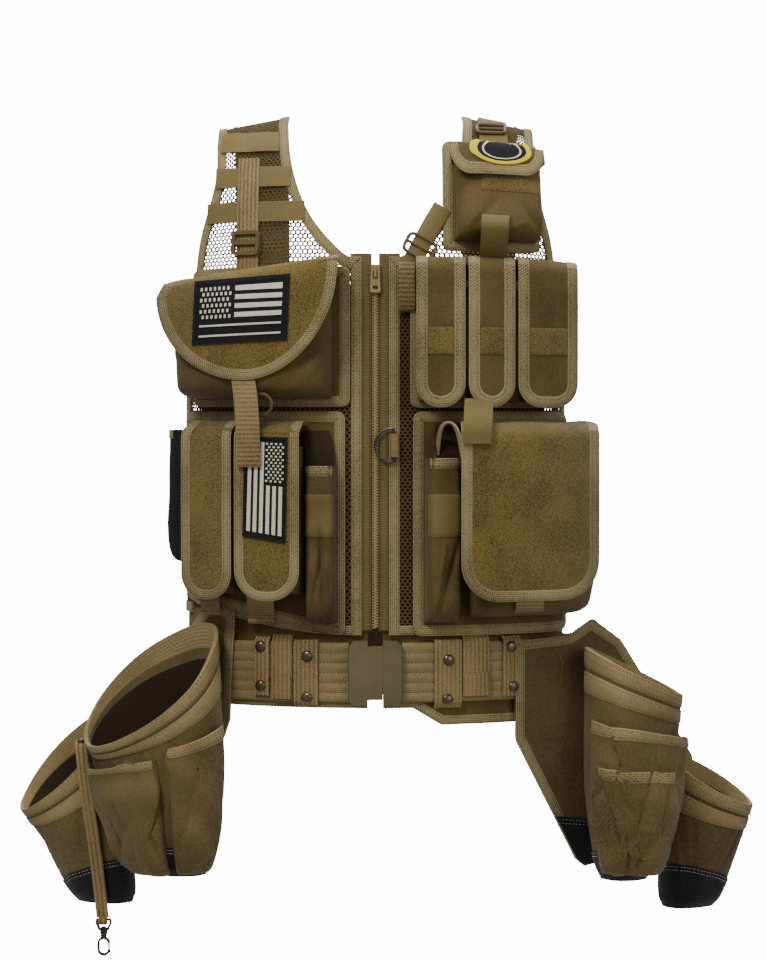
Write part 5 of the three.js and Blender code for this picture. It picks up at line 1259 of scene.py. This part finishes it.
POCKET_SEAT, POCKET_DEPTH = 1.25, 14.0
bag_pocket("left_wide_pocket", "pocket_a1", BAG_A, 0.35, 0.555, 0.03, 0.7, POCKET_SEAT, POCKET_DEPTH, 61,
    folds=PLEATS)
bag_pocket("left_narrow_pocket", "pocket_a2", BAG_A, 0.585, 0.75, 0.03, 0.74, POCKET_SEAT, POCKET_DEPTH, 62,
    folds=SOFT_FOLDS)
bag_pocket("right_wide_pocket", "pocket_c1", BAG_C, 0.27, 0.66, 0.05, 0.74, POCKET_SEAT, POCKET_DEPTH, 63,
    folds=SOFT_FOLDS)
bag_pocket("right_front_pocket", "pocket_c2", BAG_C, 0.32, 0.54, 0.07, 0.55,
    POCKET_SEAT + POCKET_DEPTH + BAG_SEAT, 10, 64, folds=[
    (0.3, 0.4, 0.36, 0.02, 0.05, -3.0), (0.5, 0.34, 0.5, 0.02, 0.05, 3.0),
    (0.68, 0.42, 0.62, 0.02, 0.05, -3.5),
    (0.2, 0.3, 0.24, 0.02, 0.04, 2.4), (0.85, 0.4, 0.78, 0.02, 0.04, 2.0)])

# %% [markdown]
# Behind the bags hang flat plates of cloth that carry them from the belt. Each is a wall drawn
# row by row between the left and right sides of its outline.
# %% Plates behind the bags


def plate_face(side):
    start = plate_start(side)
    outward = np.array([side * math.sin(BAG_TURN), -math.cos(BAG_TURN), 0])

    def surface(x, z, d=0.0):
        x, z, d = np.broadcast_arrays(*(np.asarray(value, float) for value in (x, z, d)))
        y = start[1] + math.tan(BAG_TURN) * (np.abs(x) - abs(start[0]))
        return np.stack([x, y, z], -1) + d[..., None] * outward

    return surface


PLATES = {
    -1: ([(176, -517), (146, -524), (150, -600), (152, -640), (186, -735)],
    [(176, -517), (196, -545), (262, -640), (262, -724), (186, -735)]),
    1: ([(228, -537), (204, -553), (146, -557), (146, -660), (212, -792), (222, -800)],
    [(232, -537), (262, -560), (344, -690), (344, -780), (222, -800)]),
}
for side, tag in ((-1, "left"), (1, "right")):
    surface = plate_face(side)
    near, far = (np.asarray(p, float) for p in PLATES[side])
    t = np.linspace(0, 1, 60)
    ends = []
    for p in (near, far):
        zs = np.linspace(p[0, 1], p[-1, 1], 60)
        ends.append(np.stack([np.interp(-zs, -p[:, 1], p[:, 0]), zs], -1))
    u = np.linspace(0, 1, 34)[None, :, None]
    grid = ends[0][:, None] * (1 - u) + ends[1][:, None] * u
    x, z = side * grid[..., 0], grid[..., 1]
    bow = ripple(x, z, 71 + side, 90, 0.6)
    piece("hanging_plate_" + tag, wall(surface(x, z, PLATE_THICKNESS - 0.7 + bow), surface(x, z, 0.5 + bow),
        np.stack([x, z], -1)),
          BAG_CLOTH, ["plate_" + tag])
    outline = np.concatenate([near, far[::-1][1:-1]]) * [side, 1]
    edge_band("hanging_plate_binding_" + tag, [outline], 10, 0.1, 3.0, BINDING, surface,
        closed=True, side=side)

# %% [markdown]
# A thin lanyard is riveted to the left bag and ends in a loop through the swivel hook's eye. It
# is a limp flat cord that hangs free: its length is what the photo shows, end to end.
# %% Lanyard
LANYARD = {"width": 13.0, "thickness": 2.0, "drop": 184.0, "lean": 24.0, "stand": 22.0, "loop": 9.6}
lanyard_top = BAG_A.at(0.3 * BAG_A.girth, 0.93 * BAG_A.drop, 0.9 + 0.46 * LANYARD["width"])
LANYARD_WAY = np.array([(0, 0, 0), (0.06, 0.05, 0.5), (0.3, 0.3, 0.9), (0.65, 0.7, 1), (1, 1, 1)])
way = smoothed(LANYARD_WAY, 60)
hang_way = np.stack([lanyard_top[0] + way[:, 1] * LANYARD["lean"],
    lanyard_top[1] - way[:, 2] * LANYARD["stand"] + 1,
                 lanyard_top[2] - way[:, 0] * LANYARD["drop"]], -1)
lanyard = piece("lanyard_strap", strap(hang_way, (1, 0, 0), LANYARD["width"], LANYARD["thickness"]),
    WEBBING, ["lanyard"])
turn = np.linspace(0, 2 * math.pi, 25)
ring_middle = hang_way[-1] - [0, 0, 3.6]
ring = ring_middle + np.stack([0 * turn, 3.4 * np.sin(turn), 3.6 * np.cos(turn)], -1)
lanyard_loop = piece("lanyard_loop", strap(ring, (1, 0, 0), LANYARD["loop"], 1.9, step=1.0), WEBBING)

# %% [markdown]
# Behind the net beside the zip the fronts have a dark facing in the cloth's shadow tones, and a guard lies
# behind the zip's teeth, so that no light comes through there: both are painted shade of the vest's inside.
# Neither shows in the photo.
# %% Facings and zip guard, dark as painted shade
for side, tag in ((1, "right"), (-1, "left")):
    edges = sorted((side * 24.0, side * 62.0))
    wide = sorted((side * 30.0, side * 196.0))
    shade_facings = [over_sheet(*edges, HEM_Z + 12, -186, -2.4, -1.6, 60, 8),
        over_sheet(*wide, -330, -296, -1.4, -0.6, 8, 40)]
    piece("front_facing_" + tag, shade_facings, SHADE_LINING)

# The zip guard is a dark sheet of painted shade behind the teeth.
piece("zip_shade_guard", over_sheet(-20, 20, HEM_Z + 12, -168, -2.4, -1.6, 60, 8), SHADE_LINING)

# %% [markdown]
# Straps and tabs that are sewn on by one end hang in front of what is below. Each is a strip whose
# way is given as heights and distances out from the body, and whose sides are places in the front view.
# %% Hanging strips


def before(x, z, d):
    """The point that stands d out from the vest and shows at x and z from the front."""
    x, z, d = np.broadcast_arrays(*(np.asarray(value, float) for value in (x, z, d)))
    s = girth_at(x, d)
    return body(s, height_at(z, oval(s)[0]), d)


def hang(x0, x1, way, thickness=1.6, drift=0.0, rows=44, columns=9):
    """A strip between x0 and x1 along rows of (height, out), moved sideways by drift as it goes down."""
    middle = smoothed(way, rows)
    step = unit(np.gradient(middle, axis=0))
    normal = np.stack([step[:, 1], -step[:, 0]], -1)
    share = np.linspace(0, 1, rows)[:, None]
    x = np.linspace(x0, x1, columns)[None] + drift * share
    sides = []
    for off in (thickness / 2, -thickness / 2):
        z, d = ((middle[:, k] + normal[:, k] * off)[:, None] + 0 * x for k in (0, 1))
        sides.append(before(x, z, d))
    length = np.concatenate([[0], np.cumsum(np.linalg.norm(np.diff(middle, axis=0), axis=1))])
    return wall(*sides, np.stack([x, length[:, None] + 0 * x], -1))


PULL_STRAP = hang(-149, -124, [(-281, 52.2), (-289, 54.0), (-303, 55.4), (-330, 54.2), (-373, 52.6)], drift=7)
piece("chest_pull_strap", PULL_STRAP, WEBBING)
TABS = [
    hang(-184, -163, [(-503, 43), (-508, 37), (-516, 22), (-524, 11), (-530, 8.6)]),
    hang(-133, -105, [(-503, 43), (-510, 36), (-520, 20), (-530, 9.4), (-537, 8.2)]),
    hang(145, 175, [(-504, 51), (-512, 52.5), (-519, 48), (-523, 38), (-526, 30)]),
    hang(24, 41, [(-163, 6.4), (-170, 9.5), (-190, 10.5), (-206, 9), (-212, 6.4)], thickness=3.0),
]
piece("ribbed_tabs", TABS, WEBBING)
FLAT_TABS = [
    hang(92, 122, [(-303, 38.5), (-312, 45), (-322, 54), (-334, 59.5), (-349, 59.2)], drift=-3),
    hang(111, 140, [(-121, 36.5), (-125, 42), (-134, 43), (-148, 30), (-160, 16), (-168, 11)], drift=-4),
]
piece("flat_tabs", FLAT_TABS, NYLON)
loop_way = before(np.array([90, 84, 75, 67, 63.5]), np.array([-364, -336, -327, -335, -364]),
    np.array([50, 49, 42, 31, 18]))
piece("large_flap_side_loop", strap(smoothed(loop_way, 40), (0.3, -0.95, 0), 9, 2.2), BINDING)
# Dark strips in the mouths of the two tool pockets: painted shade inside the pockets.
piece("left_mouth_shade", hang(-76, -48, [(-336, 6.8), (-344, 12), (-360, 17), (-384, 19)], drift=6),
    SHADE_LINING)
piece("right_mouth_shade", hang(62, 88, [(-332, 6.8), (-342, 16), (-356, 22), (-376, 24)]), SHADE_LINING)

# %% [markdown]
# A strap on each shoulder is set by a plastic slide: a frame with a bar across its middle. Its rim
# is a rounded rectangle, which the powers of sine and cosine give.
# %% Slides and the straps in them


def slide_frame(centre, across, down, width, height, wire=2.0):
    """A rod along a rounded rectangle, and a second rod for the bar."""
    turn = np.arange(40) * 2 * math.pi / 40
    a, b = (np.sign(w) * np.abs(w) ** 0.4 for w in (np.cos(turn), np.sin(turn)))
    across, down = unit(np.asarray(across, float)), unit(np.asarray(down, float))
    rim = centre + across * (a * width / 2)[:, None] + down * (b * height / 2)[:, None]
    bar = centre + across * (np.linspace(-0.5, 0.5, 6) * width)[:, None]
    return [rod(rim, wire, closed=True), rod(bar, wire * 0.9)]


def resting(surface, s, h, d, e=0.5):
    """A place on a surface with the directions across it, down it and out of it."""
    at = [surface(np.array([a]), np.array([b]), np.array([c]))[0] for a, b,
        c in ((s, h, d), (s + e, h, d), (s, h - e, d))]
    across, down = unit(at[1] - at[0]), unit(at[2] - at[0])
    return at[0], across, down


collar = smoothed([(girth_at(30.0), -174), (girth_at(44.0), -147), (girth_at(54.0), -128),
    (girth_at(68.0), -104)], 50)
piece("collar_strap", band(on_vest, collar + [-8, 4], 20, 5.9, 7.4, side=-1), NYLON)
centre, across, down = resting(on_vest, float(girth_at(45.0)), -147.0, 8.0)
along_strap = unit(0.46 * across - 0.89 * down)
slides = slide_frame(centre, unit(across * 0.89 + down * 0.46), along_strap, 31, 21)
centre, across, down = resting(before, 121.0, -163.0, 13.0)
slides += slide_frame(centre, across, down, 34, 12)
centre, across, down = resting(before, 124.0, -20.0, 6.5)
slides += slide_frame(centre, across, down, 33, 16)
piece("strap_slides", slides, SLIDE)
top_heights = float(height_at(-36.0, 124.0)), SHOULDER_TOP + 24
top_strap = over_sheet(float(girth_at(109.0)), float(girth_at(139.0)), *top_heights, 3.4, 5.0, 40, 10)
piece("shoulder_top_strap", top_strap, NYLON)
turn = np.arange(30) * 2 * math.pi / 30
ring_x, ring_z = -117 + 11 * np.cos(turn), -309 + 11 * np.sin(turn)
piece("pull_ring", rod(before(ring_x, ring_z, 47.0 + 2 * np.sin(turn)), 1.7, closed=True), SLIDE)

ribbons = []
for x, z in ((-170, -566), (188, -570)):
    centre, across, down = resting(on_belt, float(girth_at(x)), float(z), 3.4)
    outward = np.cross(across, -down)
    turn = np.linspace(0, 2 * math.pi, 36)
    loop_points = centre + outward * (4 + 5 * np.sin(turn))[:, None] + down * (19 * (1 - np.cos(turn)))[:,
        None]
    ribbons.append(strap(loop_points, across, 14, 1.3, step=2.0))
piece("belt_ribbons", ribbons, NYLON)

# %% [markdown]
# Fields of pile and bands of elastic are flat strips sewn on a pouch or a flap, a little proud.
# %% Fields and elastic bands


def field(surface, a0, a1, b0, b1, low=0.2, high=1.0, cells=16):
    """A rectangle of a surface between two distances out."""
    a, b = np.meshgrid(np.linspace(a0, a1, cells), np.linspace(b0, b1, cells))
    edge = np.minimum(1, np.minimum(np.minimum(a - a0, a1 - a), np.minimum(b - b0, b1 - b)) / 1.0 + 0.3)
    return wall(surface(a, b, low + (high - low) * edge), surface(a, b, low + 0 * a), np.stack([a, b], -1))


def on_flap(shape):
    """A flap's outside by the place where it shows from the front."""
    return lambda x, z, d: shape.at(x, -shape.down_to(z - shape.tilt * (x - shape.middle)), d)


radio_face, radio_wide, radio_tall = RADIO
fields = [field(radio_face, radio_wide * 0.22, radio_wide * 0.94, radio_tall - 33, radio_tall - 5)]
for shape, x0, x1 in CELL_FLAPS:
    fields.append(field(on_flap(shape), x0 + 12.5, x1 - 12.5, -257, -229))
    for z in (-228, -258):
        sew(on_flap(shape), line((x0 + 13, z), (x1 - 13, z)), 0.5, tone="dark")
piece("pile_fields", fields, PILE)
elastics = [field(pocket[0], 0.8, pocket[1] - 0.8, 90, 134, 0.2, 1.3) for pocket in (TOOL_LEFT, TOOL_RIGHT)]
piece("elastic_bands", elastics, NYLON)

# %% [markdown]
# The patches are plain generic ones: a dark ground with a raised edge, pale stripes and a block of
# small checks, and an oval with a bright edge. Every stripe is a thin raised strip of its own.
# %% Patches


def quad(surface, corners, u0, u1, v0, v1, low, high, cells=10):
    """Part of a four-cornered patch, whose place is found between its corners, on a surface."""
    u, v = np.meshgrid(np.linspace(u0, u1, cells), np.linspace(v0, v1, cells))
    c = np.asarray(corners, float)
    u_, v_ = u[..., None], v[..., None]
    place = (c[0] * (1 - u_) + c[1] * u_) * (1 - v_) + (c[3] * (1 - u_) + c[2] * u_) * v_
    x, z = place[..., 0], place[..., 1]
    return wall(surface(x, z, high + 0 * x), surface(x, z, low + 0 * x), np.stack([x, z], -1))


def patch(name, surface, corners, stripes, checks, edge=0.035, ratio=1.0):
    """The ground, its raised edge, the stripes and the checks, as shares of the patch's sides."""
    frame_bars = [(0, 1, 0, edge * ratio), (0, 1, 1 - edge * ratio, 1), (0, edge, 0, 1), (1 - edge, 1, 0, 1)]
    ground = [quad(surface, corners, 0, 1, 0, 1, 0.3, 1.4, 24)]
    ground += [quad(surface, corners, *bar, 1.2, 2.1) for bar in frame_bars]
    piece(name + "_ground", ground, PATCH_BLACK)
    columns, rows, (c0, c1, r0, r1) = checks
    parts = [quad(surface, corners, *stripe, 1.2, 1.9) for stripe in stripes]
    for j in range(rows):
        for i in range(columns):
            u = c0 + (c1 - c0) * (i + 0.5 * (j % 2) + 0.25) / columns
            v = r0 + (r1 - r0) * (j + 0.5) / rows
            du, dv = 0.24 * (c1 - c0) / columns, 0.3 * (r1 - r0) / rows
            parts.append(quad(surface, corners, u - du, u + du, v - dv, v + dv, 1.2, 1.8, 2))
    piece(name + "_stripes", parts, PATCH_CREAM)


chest_stripes = [(0.44, 0.93, v, v + 0.075) for v in (0.1, 0.24, 0.38, 0.52)] + [(0.07, 0.93, 0.7, 0.73),
    (0.07, 0.93, 0.86, 0.89)]
patch("chest_patch", on_flap(chest_flap), [(-187, -182), (-87, -179), (-90, -243), (-190, -247)],
    chest_stripes,
      (7, 6, (0.07, 0.4, 0.08, 0.62)), ratio=1.5)
flap_stripes = [(u, u + 0.085, 0.05, 0.94) for u in (0.09, 0.235, 0.38)] + [(u, u + 0.085, 0.47,
    0.94) for u in (0.53, 0.675, 0.82)]
patch("flap_patch", on_flap(LONG_FLAPS[1]), [(-134, -342), (-90, -343), (-92, -451), (-137, -444)],
    flap_stripes,
      (4, 13, (0.5, 0.93, 0.05, 0.44)), edge=0.06, ratio=0.4)


def disc(inner, outer, low, high, cells=8, sides=48):
    """A ring of an oval on the radio flap, from an inner to an outer share of its size."""
    turn, share = np.meshgrid(np.arange(sides) * 2 * math.pi / sides, np.linspace(inner, outer, cells))
    x, b = 135 + 33 * share * np.cos(turn), -36 + 12.5 * share * np.sin(turn)
    return wall(radio_flap.at(x, b, high + 0 * x), radio_flap.at(x, b, low + 0 * x), np.stack([x, b], -1),
        ring=True)


piece("oval_patch_ground", disc(0.02, 0.84, 0.3, 1.2), PATCH_BLACK)
piece("oval_patch_edge", disc(0.82, 1.0, 0.3, 2.2), PATCH_YELLOW)
piece("oval_patch_line", disc(0.6, 0.66, 1.0, 1.6), PATCH_CREAM)

# %% [markdown]
# The right plate ends in a tough dark corner with pale stitching, and two rivets hold the lanyard.
# %% Plate corner and rivets
u, v = np.meshgrid(np.linspace(0, 1, 16), np.linspace(0, 1, 14))
z = -744 - 8 * u - v * (53 - 8 * u)
left_edge = np.interp(-z, [660, 792, 800], [146, 212, 222]) + 1
x = left_edge + u * (242 - left_edge)
surface = plate_face(1)
corner = wall(surface(x, z, PLATE_THICKNESS + 1.6), surface(x, z, PLATE_THICKNESS - 0.2),
    np.stack([x, z], -1))
piece("plate_corner", corner, DARK_CLOTH)
for drop in (3.0, 7.0):
    sew(surface, np.stack([x[0, 1:], z[0, 1:] - drop], -1), PLATE_THICKNESS + 1.8, tone="white")
rivet = np.array(STUD) * 0.72
rivets = [lathed(rivet, hang_point + [0, -1.3, 0], (0.1, -1, 0.1)) for hang_point in (hang_way[3],
    hang_way[3] - [0, -1.5, 9])]
piece("lanyard_rivets", rivets, GUNMETAL)

# %% [markdown]
# Hard pieces keep their solids: their shapes are exact already, so only the finish is new.
# %% Finishes of the hard pieces
HARD = {
    "zip_slider": ZIP_TEETH, "zip_pull": ZIP_TEETH, "shoulder_buckle": SLIDE, "d_ring": GUNMETAL,
    "d_ring_tab": WEBBING,
    "buckle_socket": OLIVE, "buckle_plug": OLIVE, "hook_eye": GUNMETAL, "hook_body": GUNMETAL,
    "hook_gate": GUNMETAL,
}
for node_name, hard_finish in HARD.items():
    for place in frame["nodes"][node_name].material_slots:
        place.material = hard_finish
print("hard pieces", len(HARD))

# %% [markdown]
# Thousands of stitches are a few objects: one or more for each of the three threads, up to about twenty
# thousand stitches each. Each stitch has eight faces.
# %% Stitches
LOTS = 20000
for tone, thread in (("pale", PALE_THREAD), ("dark", DARK_THREAD), ("white", WHITE_THREAD)):
    rows_sewn = STITCHES[tone]
    lots, count = [[]], 0
    for row in rows_sewn:
        if count > LOTS * 6:
            lots.append([])
            count = 0
        lots[-1].append(row)
        count += len(row[0])
    for i, lot in enumerate(lots):
        if lot:
            piece(f"stitches_{tone}_{i + 1}", lot, thread, sharp=90)

# %% [markdown]
# A plain pale floor and wall in one sweep, and soft light from large lamps, as in a studio. The
# paper is clear when it is looked at from behind, so that it does not hide the vest's back.
# %% Stage and light
STAGE_FOOT, STAGE_BACK = -1.35, 1.6
PAPER_GLOW, ROOM_LIGHT = 14.0, 0.34
profile = smoothed([(-4.5, STAGE_FOOT), (-1.0, STAGE_FOOT), (STAGE_BACK - 0.6, STAGE_FOOT),
    (STAGE_BACK - 0.1, STAGE_FOOT + 0.3),
                    (STAGE_BACK, STAGE_FOOT + 1.0), (STAGE_BACK, 3.0)], 80)
x, row = np.meshgrid(np.linspace(-5, 5, 9), np.arange(80))
sweep = np.stack([x, profile[row, 0], profile[row, 1]], -1).reshape(-1, 3)
mesh = bpy.data.meshes.new("sweep")
mesh.from_pydata(sweep.tolist(), [], grid_faces(80, 9).tolist())
mesh.polygons.foreach_set("use_smooth", np.ones(len(mesh.polygons), bool))
paper = bpy.data.materials.new("paper")
paper.use_nodes = True
paper_shader = paper.node_tree.nodes["Principled BSDF"]
paper_shader.inputs["Base Color"].default_value = (0.9, 0.9, 0.9, 1)
paper_shader.inputs["Roughness"].default_value = 0.9
paper_shader.inputs["Emission Strength"].default_value = PAPER_GLOW
seen = paper.node_tree.nodes.new("ShaderNodeLightPath").outputs["Is Camera Ray"]
paper.node_tree.links.new(seen, paper_shader.inputs["Emission Color"])
sight = paper.node_tree.nodes.new("ShaderNodeSeparateXYZ")
paper.node_tree.links.new(paper.node_tree.nodes.new("ShaderNodeNewGeometry").outputs["Incoming"],
    sight.inputs[0])
clear = paper.node_tree.nodes.new("ShaderNodeBsdfTransparent").outputs[0]
chosen = paper.node_tree.nodes.new("ShaderNodeMixShader")
output = paper.node_tree.nodes["Material Output"]
paper.node_tree.links.new(maths(paper.node_tree, "GREATER_THAN", sight.outputs["Y"], 0.0), chosen.inputs[0])
paper.node_tree.links.new(paper_shader.outputs[0], chosen.inputs[1])
paper.node_tree.links.new(clear, chosen.inputs[2])
paper.node_tree.links.new(chosen.outputs[0], output.inputs["Surface"])
mesh.materials.append(paper)
stage_sweep = bpy.data.objects.new("sweep", mesh)
bpy.context.scene.collection.objects.link(stage_sweep)
world = bpy.data.worlds.new("studio")
bpy.context.scene.world = world
world.use_nodes = True
world.node_tree.nodes["Background"].inputs["Color"].default_value = (1, 1, 1, 1)
world.node_tree.nodes["Background"].inputs["Strength"].default_value = ROOM_LIGHT
for name, place, size, power in (
    ("key", (-1.2, -2.3, 1.9), 0.9, 62), ("fill", (1.9, -2.2, 0.2), 1.6, 15),
    ("top", (0.1, -0.7, 2.0), 1.1, 30), ("wall", (0, 0.6, 2.2), 2.0, 40),
):
    lamp = bpy.data.lights.new(name, "AREA")
    lamp.shape, lamp.size, lamp.energy = "DISK", size, power
    made = bpy.data.objects.new(name, lamp)
    made.location = place
    aim = (0, 1.6, -0.3) if name == "wall" else (0, -0.1, -0.4)
    direction = np.array(aim) - np.array(place)
    made.rotation_euler = Vector(direction).to_track_quat("-Z", "Y").to_euler()
    bpy.context.scene.collection.objects.link(made)
